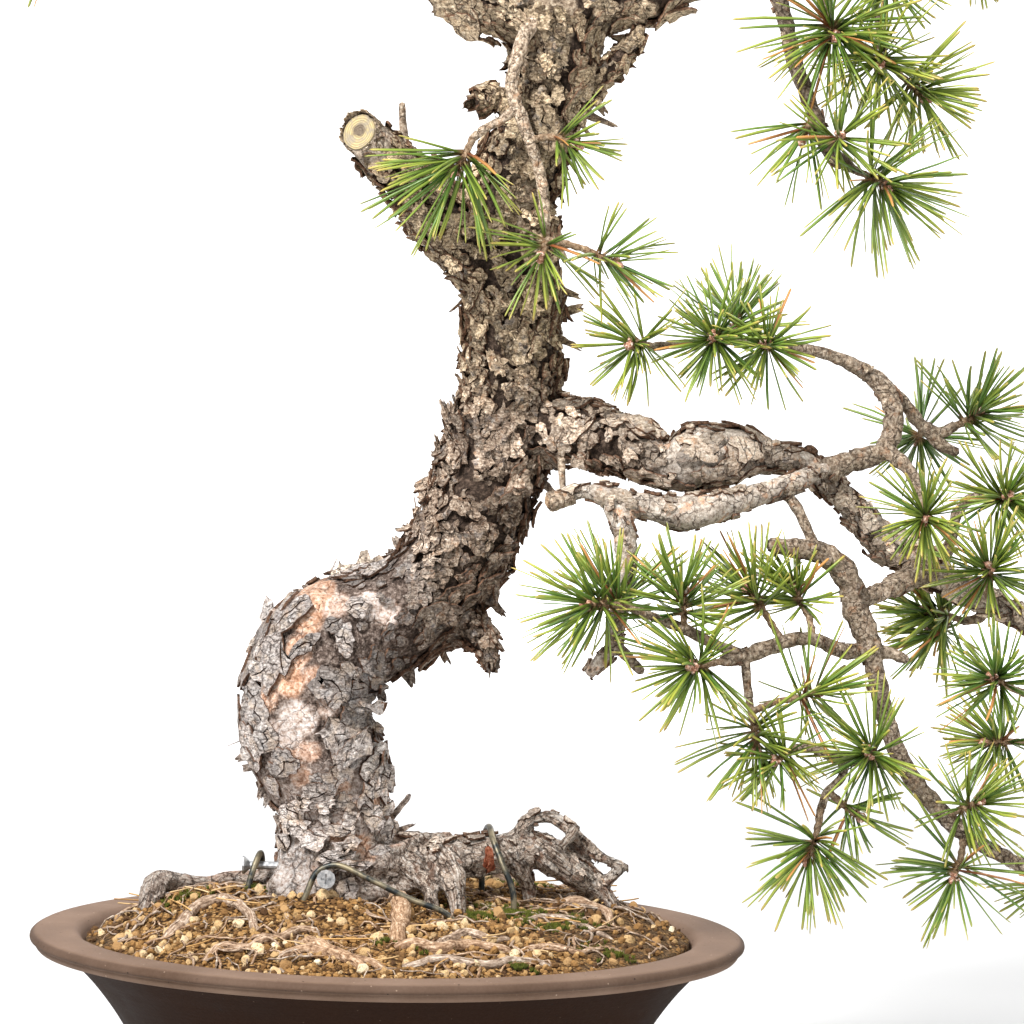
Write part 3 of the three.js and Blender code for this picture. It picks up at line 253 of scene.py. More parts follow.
# The shoots of each needle spray, as the points of their twigs.
SPRAYS = {
    "low_left_tip": [
        [[107, -73, 244], [95, -76, 246], [86, -80, 246]],
        [[101, -74, 245], [99, -70, 246], [98, -66, 251]],
    ],
    "low_left_high": [[[129, -68, 235], [128, -72, 243], [127, -74, 252]]],
    "low_left_middle": [[[173, -49, 229], [167, -46, 238], [162, -44, 246], [158, -44, 252]]],
    "low_left_face": [[[146, -64, 221], [139, -72, 220], [132, -84, 220]]],
    "low_left_under": [
        [[158, -63, 205], [160, -66, 194], [162, -70, 183]],
        [[159, -65, 199], [170, -60, 203], [181, -56, 205], [190, -52, 208]],
    ],
    "low_left_root": [[[187, -41, 229], [185, -38, 239], [181, -36, 246], [178, -36, 254]]],
    "bottom_left": [[[179, -60, 183], [175, -64, 181], [170, -72, 178]]],
    "bottom_low": [[[191, -60, 157], [189, -64, 146], [185, -68, 135]]],
    "bottom_spur": [[[194, -58, 164], [202, -54, 157], [208, -50, 152]]],
    "bottom_face": [[[220, -42, 175], [215, -54, 180], [211, -66, 182]]],
    "hanging_low": [[[257, -31, 144], [255, -36, 132], [251, -46, 125]]],
    "hanging_up": [[[249, -32, 151], [254, -40, 155], [261, -48, 159]]],
    "hanging_tip": [[[317, -22, 113], [327, -22, 110], [336, -22, 108]]],
    "hanging_side": [[[292, -26, 125], [299, -14, 120], [303, -4, 116]]],
    "right_down": [[[284, -16, 205], [275, -24, 209], [267, -36, 214]]],
    "right_low": [[[292, 12, 180], [280, 6, 181], [269, 0, 181]]],
    "under_back": [
        [[259, 24, 234], [250, 27, 237], [242, 28, 238]],
        [[253, 26, 236], [250, 34, 228], [245, 40, 227]],
    ],
    "arch_low": [[[236, -24, 290], [236, -30, 286], [235, -42, 284]]],
    "first_face": [[[268, 12, 245], [268, -6, 254], [266, -20, 262]]],
    "arch_back": [[[239, 18, 322], [238, 30, 319], [238, 42, 316]]],
    "arch_tip": [[[253, 21, 323], [260, 20, 327], [265, 18, 331]]],
    "right_up": [[[270, 10, 291], [274, 6, 291], [276, 0, 292]]],
    "far_left_tip": [[[113, -19, 357], [108, -24, 359], [104, -30, 358]]],
    "far_left_face": [[[143, -15, 360], [142, -26, 361], [140, -38, 362]]],
    "far_left_back": [[[151, -14, 360], [151, -4, 366], [152, 2, 373]]],
    "far_left_inner": [[[166, -12, 359], [165, -24, 359], [163, -36, 359]]],
    "drop_left": [[[32, -39, 448], [29, -42, 441], [25, -46, 434]]],
    "drop_right": [[[58, -34, 448], [68, -37, 449], [77, -41, 446]]],
    "drop_tip": [
        [[65, -36, 410], [65, -38, 403], [63, -44, 396]],
        [[65, -38, 404], [82, -37, 400], [96, -39, 394]],
    ],
    "cascade_middle": [[[188, -22, 506], [190, -26, 500], [191, -32, 496]]],
    "cascade_outer": [[[215, -4, 487], [225, -7, 478], [233, -10, 471]]],
    "cascade_outer_face": [[[212, -2, 500], [212, -12, 490], [212, -24, 483]]],
    "cascade_tip": [[[202, -28, 437], [209, -31, 434], [215, -36, 430]]],
    "cascade_face": [[[189, -26, 447], [192, -34, 450], [194, -44, 452]]],
    "cascade_small": [[[183, -24, 462], [181, -30, 457], [178, -34, 451]]],
    "cascade_high": [[[205, 6, 536], [213, 2, 532], [216, -8, 521]]],
    "first_tip": [[[335, 22, 196], [341, 22, 190], [345, 20, 184]]],
    "first_tip_up": [[[344, 12, 219], [351, 8, 221], [357, 6, 223]]],
    "crown_left_tip": [
        [[-153, 2, 535], [-161, 0, 533], [-168, -2, 531]],
        [[-159, 1, 534], [-162, 12, 541], [-164, 20, 547]],
    ],
    "crown_left_a": [
        [[-100, 12, 552], [-106, -2, 559], [-115, -16, 564]],
        [[-105, -1, 559], [-102, 6, 566], [-101, 10, 573]],
    ],
    "crown_left_b": [
        [[-53, 12, 555], [-59, 30, 565], [-68, 44, 572]],
        [[-58, 28, 564], [-54, 40, 572], [-50, 44, 579]],
    ],
    "crown_left_c": [
        [[-28, 6, 549], [-36, -14, 555], [-44, -32, 557]],
        [[-35, -12, 555], [-31, -24, 561], [-28, -34, 567]],
    ],
    "crown_left_d": [
        [[13, -4, 527], [8, 18, 542], [-2, 34, 553]],
        [[8, 16, 541], [12, 26, 553], [14, 32, 562]],
    ],
    "crown_top": [
        [[58, 0, 632], [57, -2, 640], [55, -4, 647]],
        [[58, -1, 637], [63, 8, 642], [68, 16, 646]],
    ],
    "crown_high_left": [[[72, 6, 613], [63, -12, 616], [54, -28, 619]]],
    "crown_high_right": [[[84, 8, 594], [97, 18, 599], [108, 28, 605]]],
    "crown_middle_right": [
        [[81, 4, 570], [91, -18, 571], [101, -38, 572]],
        [[90, -16, 571], [88, -32, 577], [86, -44, 582]],
    ],
    "crown_middle_left": [
        [[72, -2, 552], [56, 18, 560], [42, 34, 568]],
        [[57, 17, 560], [52, 32, 570], [49, 44, 579]],
    ],
    "crown_right_a": [
        [[132, -2, 528], [135, 22, 543], [131, 40, 555]],
        [[134, 20, 541], [142, 34, 552], [149, 42, 559]],
    ],
    "crown_right_b": [[[204, 12, 555], [208, 26, 566], [210, 38, 577]]],
    "crown_right_tip": [
        [[246, 12, 546], [255, 8, 543], [264, 4, 541]],
        [[251, 10, 544], [253, 16, 552], [256, 20, 558]],
    ],
}

# Needles a shoot, their length and the widest angle they lean out, where these aren't the usual ones.
SPRAY_NEEDLES = {
    "low_left_tip": (78, 37, 92), "low_left_face": (84, 37, 96), "low_left_under": (54, 36, 100),
    "low_left_high": (84, 33, 95), "low_left_middle": (84, 34, 95), "bottom_left": (44, 31, 100),
    "bottom_low": (82, 36, 96), "bottom_spur": (30, 30, 90), "bottom_face": (84, 33, 98),
    "hanging_low": (46, 38, 102), "hanging_up": (70, 34, 98), "arch_back": (70, 38, 80),
    "arch_tip": (80, 34, 90), "arch_low": (96, 30, 100), "first_face": (96, 32, 100),
    "far_left_tip": (56, 31, 100), "far_left_face": (92, 31, 104), "far_left_back": (56, 32, 74),
    "far_left_inner": (70, 28, 100), "drop_left": (66, 46, 74), "drop_right": (32, 29, 70),
    "drop_tip": (40, 34, 96), "cascade_middle": (104, 41, 98), "cascade_outer": (76, 36, 92),
    "cascade_outer_face": (76, 36, 96), "cascade_tip": (92, 42, 94), "cascade_face": (44, 36, 92),
    "cascade_small": (24, 38, 66), "cascade_high": (70, 34, 90), "right_down": (84, 32, 98),
}

# Tie wires, from hooks under the floor up through the soil to the trunk and the screws.
# Each has its points above the floor, and the places of its hooks.
WIRES = {
    "wire_front": ([
        [-41, -36, 98], [-36, -35.5, 110], [-32, -33.6, 119.5], [-28, -33.4, 122.6], [-22, -34, 123.8],
        [-7, -37.5, 118], [11, -40.5, 110], [27, -42.5, 104], [33, -43, 96],
    ], [[-41, -36], [33, -43]]),
    "wire_root": ([
        [42, 20, 98], [42, 20, 120], [43, 16, 133], [45, 4, 137.8], [47, -8, 133], [51, -14, 124],
        [56, -17.5, 112], [57, -18, 98],
    ], [[42, 20], [57, -18]]),
    "wire_left": ([
        [-64, -16, 98], [-62.5, -14, 112], [-59.5, -10.5, 122], [-58, -5, 125], [-57.5, -1, 122],
        [-57.5, -0.5, 118],
    ], [[-64, -16]]),
}
WIRE_HOOKS = [hook for _, hooks in WIRES.values() for hook in hooks]

# Roots that show on the soil: points x, y and the root's radius.
SURFACE_ROOTS = [
    ([[-97, -58], [-90, -46], [-83, -30], [-75, -26], [-68, -32], [-61, -48], [-56, -64]], 2.2),
    ([[-77, -95], [-70, -86], [-60, -90], [-53, -83], [-44, -78], [-37, -68], [-26, -68]], 1.7),
    ([[-34, -83], [-28, -94], [-19, -106], [-8, -120]], 2.6),
    ([[-44, -100], [-33, -98], [-24, -104], [-12, -112], [2, -118]], 2.0),
    ([[5, -22], [7, -54], [7, -83]], 3.4),
    ([[7, -88], [16, -89], [25, -99], [35, -88], [45, -91], [55, -88]], 2.2),
    ([[23, -98], [30, -76], [38, -69], [46, -74], [55, -68]], 1.9),
    ([[76, -3], [84, 0], [91, -1], [98, -8], [102, -26]], 2.0),
    ([[61, -42], [72, -30], [82, -33], [92, -38], [101, -46]], 1.2),
    ([[10, -112], [26, -108], [44, -112], [58, -104], [74, -100]], 1.6),
    ([[60, -84], [72, -76], [84, -80], [96, -68], [108, -60]], 1.2),
    ([[60, 60], [40, 74], [12, 82], [-20, 88], [-42, 80]], 2.0),
    ([[-60, 30], [-74, 46], [-70, 66], [-52, 84], [-30, 100]], 1.8),
]

# Patches of moss: x, y, spread and number of tufts.
MOSS_PATCHES = [
    [50, -22, 11, 300], [60, -30, 9, 200], [40, -34, 7, 130], [72, -42, 8, 120], [88, -30, 7, 90],
    [-56, -12, 6, 90], [26, -96, 5, 60], [60, -112, 6, 70], [98, -74, 8, 90], [0, -84, 5, 50],
    [10, 60, 10, 160], [-50, 60, 8, 110], [60, 50, 9, 130], [-92, -20, 6, 60],
]

# Limbs that get a root's ridges.
ROOTS = [
    "root_right", "root_leg_front", "root_leg_middle", "root_leg_left", "root_stump", "root_left",
    "root_back", "root_far_left",
]

# Places where the inner bark is bare: x and z seen from the front, radius and paleness.
BARE_PATCHES = [
    [-35, 244, 7, 0.1], [-38, 233, 6, 0.0], [-41, 219, 5.5, 0.1], [-46, 205, 6, 0.0],
    [-57, 197, 6, 0.1], [-42, 188, 8, 0.9], [-50, 181, 7, 0.8], [-26, 241, 6, 0.5], [-12, 239, 6, 0.9],
    [-2, 236, 5, 0.8], [-40, 163, 4.5, 0.2], [-46, 170, 4, 0.1], [-1, 150, 6, 0.1], [3, 139, 6, 0.3],
    [-42, 127, 9, 1.0], [-22, 136, 4, 0.0], [-13, 132, 4.5, 0.05], [-36, 174, 4, 0.3],
    [-26, 195, 4, 0.6], [-30, 118, 5, 0.6], [-10, 127, 4, 0.2], [-34, 208, 4, 0.2], [-22, 160, 4, 0.3],
    [-44, 118, 9, 1.0], [-36, 110, 8, 0.9],
]

# Flakes that show against the sky or stand out: pixels of foot and tip, width, tone and depth.
STANDING_FLAKES = [
    [330, 587, 339, 561, 10, 0.95, 0], [354, 586, 365, 553, 13, 0.95, 2],
    [318, 591, 287, 589, 2.4, 0.2, 0], [309, 596, 297, 585, 5, 0.3, 4], [322, 590, 330, 577, 4, 0.2, 6],
    [372, 580, 384, 566, 5, 0.3, 3], [252, 640, 243, 652, 7, 0.6, 0], [250, 676, 243, 690, 6, 0.5, -4],
    [246, 700, 237, 712, 5, 0.4, 0], [246, 722, 236, 727, 5, 0.3, 3], [243, 738, 224, 746, 0.7, 0.2, 0],
    [250, 752, 233, 760, 5.5, 0.3, 0], [252, 764, 240, 768, 4, 0.2, -5],
    [262, 774, 257, 798, 4, 0.3, 0], [268, 790, 262, 806, 4, 0.3, -4], [278, 826, 272, 814, 4, 0.3, -6],
    [403, 818, 407, 793, 3.0, 0.2, -6], [404, 832, 412, 822, 3.4, 0.3, -2],
    [380, 686, 378, 698, 5, 0.1, -8], [404, 668, 409, 683, 7, 0.1, -4],
    [438, 646, 443, 661, 4, 0.1, -2], [449, 446, 434, 399, 8, 0.5, 0], [461, 430, 452, 394, 7, 0.4, 2],
    [454, 448, 443, 408, 7, 0.3, -4], [467, 414, 461, 386, 5, 0.4, 3], [446, 467, 409, 485, 8, 0.6, 0],
    [446, 478, 432, 442, 9, 0.75, -3], [441, 508, 430, 470, 7, 0.3, 0], [431, 520, 415, 482, 8, 0.2, 0],
    [437, 518, 427, 484, 7, 0.15, -4], [426, 530, 417, 498, 6, 0.2, 3], [419, 538, 408, 508, 6, 0.3, 0],
    [411, 548, 398, 522, 6, 0.3, 2], [402, 560, 387, 537, 7, 0.4, 0], [392, 562, 381, 549, 5, 0.3, 3],
    [490, 600, 500, 612, 5, 0.2, -3], [546, 478, 552, 492, 4, 0.2, -6], [466, 292, 455, 282, 4, 0.3, 0],
    [464, 316, 457, 330, 4, 0.2, 0], [462, 350, 455, 340, 4, 0.3, 0], [560, 330, 570, 342, 4, 0.3, 0],
    [562, 310, 570, 300, 5, 0.3, 0], [462, 372, 456, 384, 4, 0.3, 2], [468, 264, 458, 255, 4, 0.3, 0],
    [560, 280, 567, 290, 4, 0.3, 0], [596, 88, 590, 108, 4, 0.2, 0], [588, 112, 600, 120, 4, 0.1, 0],
    [508, 90, 500, 78, 4, 0.3, 0], [470, 30, 458, 24, 4, 0.2, 0],
]

# Broad plates at known places: pixel of the middle, half width, half height, turn, tone, height.
BROAD_PLATES = [
    [285, 612, 5.5, 9.5, 0.35, 0.45, 1.6], [268, 652, 12, 8.5, 0.2, 0.62, 1.2],
    [262, 668, 8, 6, -0.2, 0.5, 2.0], [326, 677, 10.5, 9, -0.1, 0.25, 1.4],
    [330, 690, 9, 5, 0.1, 0.4, 2.1], [358, 700, 12, 5, 0.0, 0.5, 1.3],
    [350, 731, 15, 5.5, -0.05, 0.5, 1.2], [352, 742, 13, 4.5, -0.1, 0.42, 1.9],
    [286, 757, 7, 6, 0.2, 0.15, 1.5], [337, 772, 8, 5.5, 0.1, 0.15, 1.5],
    [317, 794, 8.5, 6.5, 0.0, 0.45, 1.3], [292, 812, 7, 6.5, 0.3, 0.5, 1.3],
    [345, 817, 10, 7, -0.25, 0.4, 1.4], [337, 850, 10, 4, -0.2, 0.45, 1.2],
    [342, 634, 8, 5, 0.0, 0.6, 1.5], [330, 617, 4.5, 4, 0.2, 0.05, 1.8],
    [352, 598, 6.5, 5.5, 0.1, 0.5, 1.7], [385, 627, 5, 4, 0.0, 0.05, 1.6],
    [397, 610, 4, 3.2, -0.3, 0.02, 1.7], [380, 592, 2.6, 5, 0.0, 0.05, 2.2],
    [300, 640, 3, 8, 0.15, 0.4, 1.0], [262, 735, 6, 8, 0.1, 0.35, 1.3], [256, 708, 5, 8, 0.0, 0.4, 1.4],
    [372, 650, 7, 5, -0.4, 0.1, 1.6], [295, 822, 6, 5, 0.2, 0.5, 2.2],
    [316, 832, 8, 4.5, -0.2, 0.4, 2.6], [372, 812, 5, 7, 0.3, 0.25, 1.6],
    [366, 790, 6, 5, 0.0, 0.3, 1.5], [388, 826, 4, 7, -0.3, 0.2, 2.2],
    [346, 836, 9, 4, -0.25, 0.45, 3.4], [350, 858, 10, 3, -0.1, 0.25, 3.4],
    [382, 846, 6, 3.5, -0.2, 0.15, 3.0], [282, 838, 4, 6, 0.1, 0.2, 2.0],
    [374, 704, 5.0, 2.6, 0.0, 0.2, 0.6], [376, 722, 5.5, 2.6, -0.12, 0.25, 0.8],
    [378, 742, 6, 3.0, -0.15, 0.3, 1.0], [382, 764, 6, 3.2, 0.05, 0.25, 1.0],
    [388, 800, 5, 4.5, 0.2, 0.5, 0.8], [249, 690, 6, 7, 0.1, 0.35, 1.0],
    [250, 752, 6, 7, 0.2, 0.4, 1.0], [258, 612, 5, 10, 0.45, 0.55, 1.0],
    [510, 480, 6, 7.5, -0.2, 0.75, 2.6], [443, 449, 4.5, 7, -0.1, 0.8, 3.0],
    [475, 455, 4, 6, 0.3, 0.7, 1.8], [475, 540, 5.5, 5, 0.2, 0.75, 2.0],
    [500, 430, 7, 4, 0.3, 0.5, 1.8], [505, 385, 7, 4, 0.1, 0.9, 1.8],
]

# Hollows in the trunk's outline: x, z, reach and depth.
HOLLOWS = [[-6, 270, 13, 12], [8, 289, 9, 4.5], [18, 307, 9, 3.5], [-1, 190, 6, 6.5], [-19, 253, 9, 5.5]]


def noise(points, scale, seed=0):
    """Smooth noise from -1 to 1 at each point, over cells `scale` millimetres wide."""
    p = np.asarray(points, float) / scale + 37.3 * seed + 511.7
    cell = np.floor(p).astype(np.int64)
    part = p - cell
    ease = part * part * part * (part * (part * 6 - 15) + 10)
    total = np.zeros(len(p))
    for corner in range(8):
        step = np.array([corner & 1, (corner >> 1) & 1, corner >> 2])
        n = (cell + step) @ np.array([374761393, 668265263, 1274126177]) + seed * 974711
        n = (n ^ (n >> 13)) * 1274126177
        n = (n ^ (n >> 16)) * 668265263
        value = ((n ^ (n >> 15)) & 0xFFFFFF) / 0xFFFFFF * 2 - 1
        weight = np.prod(np.where(step == 1, ease, 1 - ease), axis=1)
        total += value * weight
    return total


def layered_noise(points, scale, seed=0, layers=3):
    """Noise with finer and weaker noise added."""
    total = np.zeros(len(points))
    for layer in range(layers):
        total += noise(points, scale / 2**layer, seed + layer) / 2**layer
    return total / 1.6


def smoothstep(low, high, value):
    """0 at and before `low`, 1 at and beyond `high`, and a smooth rise between."""
    t = np.clip((value - low) / (high - low), 0, 1)
    return t * t * (3 - 2 * t)


def unit(v):
    """Each vector made 1 long."""
    return v / np.maximum(np.linalg.norm(v, axis=-1, keepdims=True), 1e-9)


class Shape:
    """Points, triangles and values for one piece, gathered from many parts."""

    def __init__(self):
        self.points = []
        self.faces = []
        self.looks = []
        self.values = {}
        self.count = 0

    def add(self, points, faces, look=0, **values):
        """Adds points and faces; each value is one number, or one for each point."""
        points = np.asarray(points, float).reshape(-1, 3)
        faces = np.asarray(faces, np.int64)
        if faces.shape[1] == 4:
            faces = halved(faces)
        for name in set(values) | set(self.values):
            kept = self.values.setdefault(name, [np.zeros(self.count)])
            kept.append(np.broadcast_to(np.asarray(values.get(name, 0.0), float).ravel(), (len(points),)))
        self.points.append(points)
        self.faces.append(faces + self.count)
        self.looks.append(np.full(len(faces), look))
        self.count += len(points)


def piece(name, shape, materials, replaces=(), smooth=True):
    """A Blender object from a shape, riding on the only body."""
    data = bpy.data.meshes.new(name)
    points = np.concatenate(shape.points) * MM + POT_AXIS
    faces = np.concatenate(shape.faces)
    data.vertices.add(len(points))
    data.vertices.foreach_set("co", points.astype(np.float32).ravel())
    data.loops.add(faces.size)
    data.loops.foreach_set("vertex_index", faces.astype(np.int32).ravel())
    data.polygons.add(len(faces))
    data.polygons.foreach_set("loop_start", np.arange(0, faces.size, 3, dtype=np.int32))
    data.polygons.foreach_set("material_index", np.concatenate(shape.looks).astype(np.int32))
    data.polygons.foreach_set("use_smooth", np.full(len(faces), smooth))
    for key, parts in shape.values.items():
        attribute = data.attributes.new(key, "FLOAT", "POINT")
        attribute.data.foreach_set("value", np.concatenate(parts).astype(np.float32))
    data.update(calc_edges=True)
    data.validate()
    for material in materials:
        data.materials.append(material)
    made = bpy.data.objects.new(name, data)
    bpy.context.scene.collection.objects.link(made)
    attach(made, "root")
    if replaces:
        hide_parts(*replaces)
    return made


def run_along(points):
    """How far along its line each point is."""
    return np.concatenate([[0], np.cumsum(np.linalg.norm(np.diff(points, axis=0), axis=1))])


def smooth_path(points, pitch):
    """A centripetal curve through points of any width, at even steps of about `pitch`."""
    p = np.asarray(points, float)
    p = np.concatenate([[2 * p[0] - p[1]], p, [2 * p[-1] - p[-2]]])
    gaps = np.sqrt(np.linalg.norm(np.diff(p[:, :3], axis=0), axis=1))
    knots = np.concatenate([[0], np.cumsum(gaps)])
    dense = []
    for i in range(1, len(p) - 2):
        t0, t1, t2, t3 = knots[i - 1:i + 3]
        t = np.linspace(t1, t2, 24, endpoint=i == len(p) - 3)[:, None]
        a1 = (t1 - t) / (t1 - t0) * p[i - 1] + (t - t0) / (t1 - t0) * p[i]
        a2 = (t2 - t) / (t2 - t1) * p[i] + (t - t1) / (t2 - t1) * p[i + 1]
        a3 = (t3 - t) / (t3 - t2) * p[i + 1] + (t - t2) / (t3 - t2) * p[i + 2]
        b1 = (t2 - t) / (t2 - t0) * a1 + (t - t0) / (t2 - t0) * a2
        b2 = (t3 - t) / (t3 - t1) * a2 + (t - t1) / (t3 - t1) * a3
        dense.append((t2 - t) / (t2 - t1) * b1 + (t - t1) / (t2 - t1) * b2)
    dense = np.concatenate(dense)
    along = run_along(dense[:, :3])
    steps = max(2, round(along[-1] / pitch))
    places = np.linspace(0, along[-1], steps + 1)
    return np.stack([np.interp(places, along, dense[:, k]) for k in range(dense.shape[1])], axis=1)


def frames_along(centres):
    """Forward, across and aside ways at each centre that don't twist along the line."""
    forward = unit(np.gradient(centres, axis=0))
    across = np.zeros_like(forward)
    way = np.cross([0.31, 0.52, 0.79], forward[0])
    for i, f in enumerate(forward):
        way = way - f * (way @ f)
        way = way / np.linalg.norm(way)
        across[i] = way
    return forward, across, np.cross(forward, across)


def ring_angles(sides):
    """The angles of a ring's points."""
    return np.arange(sides) * 2 * math.pi / sides


def ring_steps(sides):
    """The numbers of a ring's points, and of the next point after each."""
    j = np.arange(sides)
    return j, (j + 1) % sides


def ring_faces(rings, sides):
    """The four-sided faces between rings that follow each other."""
    i = np.arange(rings - 1)[:, None] * sides
    j, k = ring_steps(sides)
    return np.stack([i + j, i + k, i + sides + k, i + sides + j], axis=-1).reshape(-1, 4)


def halved(quads):
    """Two triangles for each four-sided face."""
    return np.concatenate([quads[:, [0, 1, 2]], quads[:, [0, 2, 3]]])


def fan(hub, first, second):
    """Triangles from one point to each pair of neighbours."""
    return np.stack([np.full(len(first), hub), first, second], axis=1)


def band(low, high, sides):
    """Triangles between two rings, which start at the points numbered `low` and `high`."""
    j, k = ring_steps(sides)
    return halved(np.stack([low + j, low + k, high + k, high + j], axis=1))


def closed_rings(rings, sides):
    """Triangles over rings of points; the two points after the rings close the first and the last."""
    n = rings * sides
    j, k = ring_steps(sides)
    ends = [fan(n, k, j), fan(n + 1, j + n - sides, k + n - sides)]
    return np.concatenate([halved(ring_faces(rings, sides)), *ends])


def tube(shape, centres, radii, sides, look=0, rounded=0.6, **values):
    """A closed tube along a line.

    Radii are one number a ring, or one for each point of each ring; a value is one for all, or one a ring.
    """
    forward, across, aside = frames_along(centres)
    radii = np.asarray(radii, float)
    if radii.ndim == 1:
        radii = np.repeat(radii[:, None], sides, axis=1)
    cos, sin = np.cos(ring_angles(sides)), np.sin(ring_angles(sides))
    ring = across[:, None] * cos[None, :, None] + aside[:, None] * sin[None, :, None]
    points = (centres[:, None] + ring * radii[..., None]).reshape(-1, 3)
    drawn = np.repeat(run_along(centres)[:, None], sides, axis=1) * GRAIN_STRETCH
    grain = np.stack([radii * cos, radii * sin, drawn], axis=-1).reshape(-1, 3)
    grain = np.concatenate([grain, grain[:1], grain[-1:]])
    ends = np.stack([
        centres[0] - forward[0] * radii[0].mean() * rounded,
        centres[-1] + forward[-1] * radii[-1].mean() * rounded,
    ])
    rings = len(centres)
    spread = {"grain_x": grain[:, 0], "grain_y": grain[:, 1], "grain_z": grain[:, 2]}
    for key, value in values.items():
        if np.ndim(value) == 1:
            value = np.concatenate([np.repeat(value, sides), [value[0], value[-1]]])
        spread[key] = value
    shape.add(np.concatenate([points, ends]), closed_rings(rings, sides), look, **spread)


# Materials.


class Nodes:
    """A short way to build a material's nodes, with lengths in millimetres."""

    def __init__(self, name):
        self.material = bpy.data.materials.new(name)
        self.material.use_nodes = True
        self.tree = self.material.node_tree
        self.shader = self.tree.nodes["Principled BSDF"]
        self.place = self.node("ShaderNodeTexCoord").outputs["Object"]

    def node(self, kind, inputs=None, **settings):
        """A new node with its settings made and its inputs set or linked."""
        made = self.tree.nodes.new(kind)
        for key, value in settings.items():
            setattr(made, key, value)
        for key, value in (inputs or {}).items():
            self.put(made.inputs[key], value)
        return made

    def put(self, socket, value):
        """Links a socket to another node's output, or sets its number or colour."""
        if isinstance(value, bpy.types.NodeSocket):
            self.tree.links.new(value, socket)
        elif hasattr(socket.default_value, "__len__") and len(socket.default_value) == 4:
            socket.default_value = (*value[:3], 1)
        else:
            socket.default_value = value

    def noise(self, scale, detail=4, roughness=0.6, stretch=(1, 1, 1)):
        """Noise whose features are about `scale` millimetres across."""
        drawn = {"Vector": self.place, "Scale": tuple(1 / s for s in stretch)}
        where = self.node("ShaderNodeMapping", drawn).outputs[0]
        return self.node("ShaderNodeTexNoise", {
            "Vector": where, "Scale": 1000 / scale, "Detail": detail, "Roughness": roughness,
        }).outputs[0]

    def grain_noise(self, scale, detail=5, roughness=0.65):
        """Noise drawn out along a limb."""
        parts = {"X": self.value("grain_x"), "Y": self.value("grain_y"), "Z": self.value("grain_z")}
        where = self.node("ShaderNodeCombineXYZ", parts).outputs[0]
        return self.node("ShaderNodeTexNoise", {
            "Vector": where, "Scale": 1 / scale, "Detail": detail, "Roughness": roughness,
        }).outputs[0]

    def cells(self, scale, output="Distance"):
        """Cells about `scale` millimetres wide: the way from a cell's middle, or the cell's colour."""
        found = self.node("ShaderNodeTexVoronoi", {"Vector": self.place, "Scale": 1000 / scale})
        return found.outputs[output]

    def cracks(self, scale, width, share, tall=1.0):
        """1 along the wandering edges of cells, 0 off them; share is how many of the cracks show."""
        wander = {"Vector": self.place, "Scale": 1000 / (0.8 * scale), "Detail": 3}
        drift = self.node("ShaderNodeTexNoise", wander).outputs["Color"]
        shift = {0: drift, 1: (scale * MM,) * 3, 2: self.place}
        moved = self.node("ShaderNodeVectorMath", shift, operation="MULTIPLY_ADD").outputs[0]
        where = self.node("ShaderNodeMapping", {"Vector": moved, "Scale": (1, 1, 1 / tall)}).outputs[0]
        edges = {"Vector": where, "Scale": 1000 / scale}
        gap = self.node("ShaderNodeTexVoronoi", edges, feature="DISTANCE_TO_EDGE").outputs[0]
        shown = self.fit(self.noise(2.2 * scale, 2), 0.62 - share * 0.3, 0.70 - share * 0.3)
        return self.times(self.fit(gap, 0.0, width, 1.0, 0.0), shown)

    def value(self, name):
        """A number that the mesh's points carry."""
        return self.node("ShaderNodeAttribute", attribute_name=name).outputs["Fac"]

    def ramp(self, fac, stops):
        """A colour looked up among stops, each a place from 0 to 1 and its colour."""
        made = self.node("ShaderNodeValToRGB", {"Fac": fac})
        ramp = made.color_ramp
        while len(ramp.elements) < len(stops):
            ramp.elements.new(0.5)
        for element, (at, colour) in zip(ramp.elements, stops):
            element.position = at
            element.color = (*colour, 1)
        return made.outputs[0]

    def mix(self, fac, a, b, blend="MIX"):
        """Colour `a`, which gives way to `b` as `fac` goes from 0 to 1."""
        made = self.node("ShaderNodeMix", data_type="RGBA", blend_type=blend)
        self.put(made.inputs[0], fac)
        self.put(made.inputs[6], a)
        self.put(made.inputs[7], b)
        return made.outputs[2]

    def math(self, kind, a, b=0.0):
        """A number worked out from one or two others."""
        return self.node("ShaderNodeMath", {0: a, 1: b}, operation=kind).outputs[0]

    def times(self, a, b):
        """Two numbers multiplied."""
        return self.math("MULTIPLY", a, b)

    def plus(self, a, b):
        """Two numbers added."""
        return self.math("ADD", a, b)

    def fit(self, value, low, high, to_low=0.0, to_high=1.0):
        """A number carried over from the range low to high, and held within its new range."""
        made = self.node("ShaderNodeMapRange", {"Value": value})
        ends = {"From Min": low, "From Max": high, "To Min": to_low, "To Max": to_high}
        for key, number in ends.items():
            made.inputs[key].default_value = number
        return made.outputs[0]

    def bump(self, height, distance):
        """Relief from a height whose 1 stands for `distance` millimetres."""
        made = self.node("ShaderNodeBump", {"Height": height, "Distance": distance * MM, "Strength": 1.0})
        return made.outputs[0]

    def finish(self, colour, roughness, normal=None, **sockets):
        """Sets the shader and returns the material; a socket's name has _ for each space."""
        self.put(self.shader.inputs["Base Color"], colour)
        self.put(self.shader.inputs["Roughness"], roughness)
        if normal is not None:
            self.tree.links.new(normal, self.shader.inputs["Normal"])
        for key, value in sockets.items():
            self.put(self.shader.inputs[key.replace("_", " ")], value)
        return self.material


def tinted(n, colour, amount):
    """A colour made lighter or darker by a number about 1."""
    grey = n.node("ShaderNodeCombineColor", {"Red": amount, "Green": amount, "Blue": amount}).outputs[0]
    return n.mix(1.0, colour, grey, "MULTIPLY")


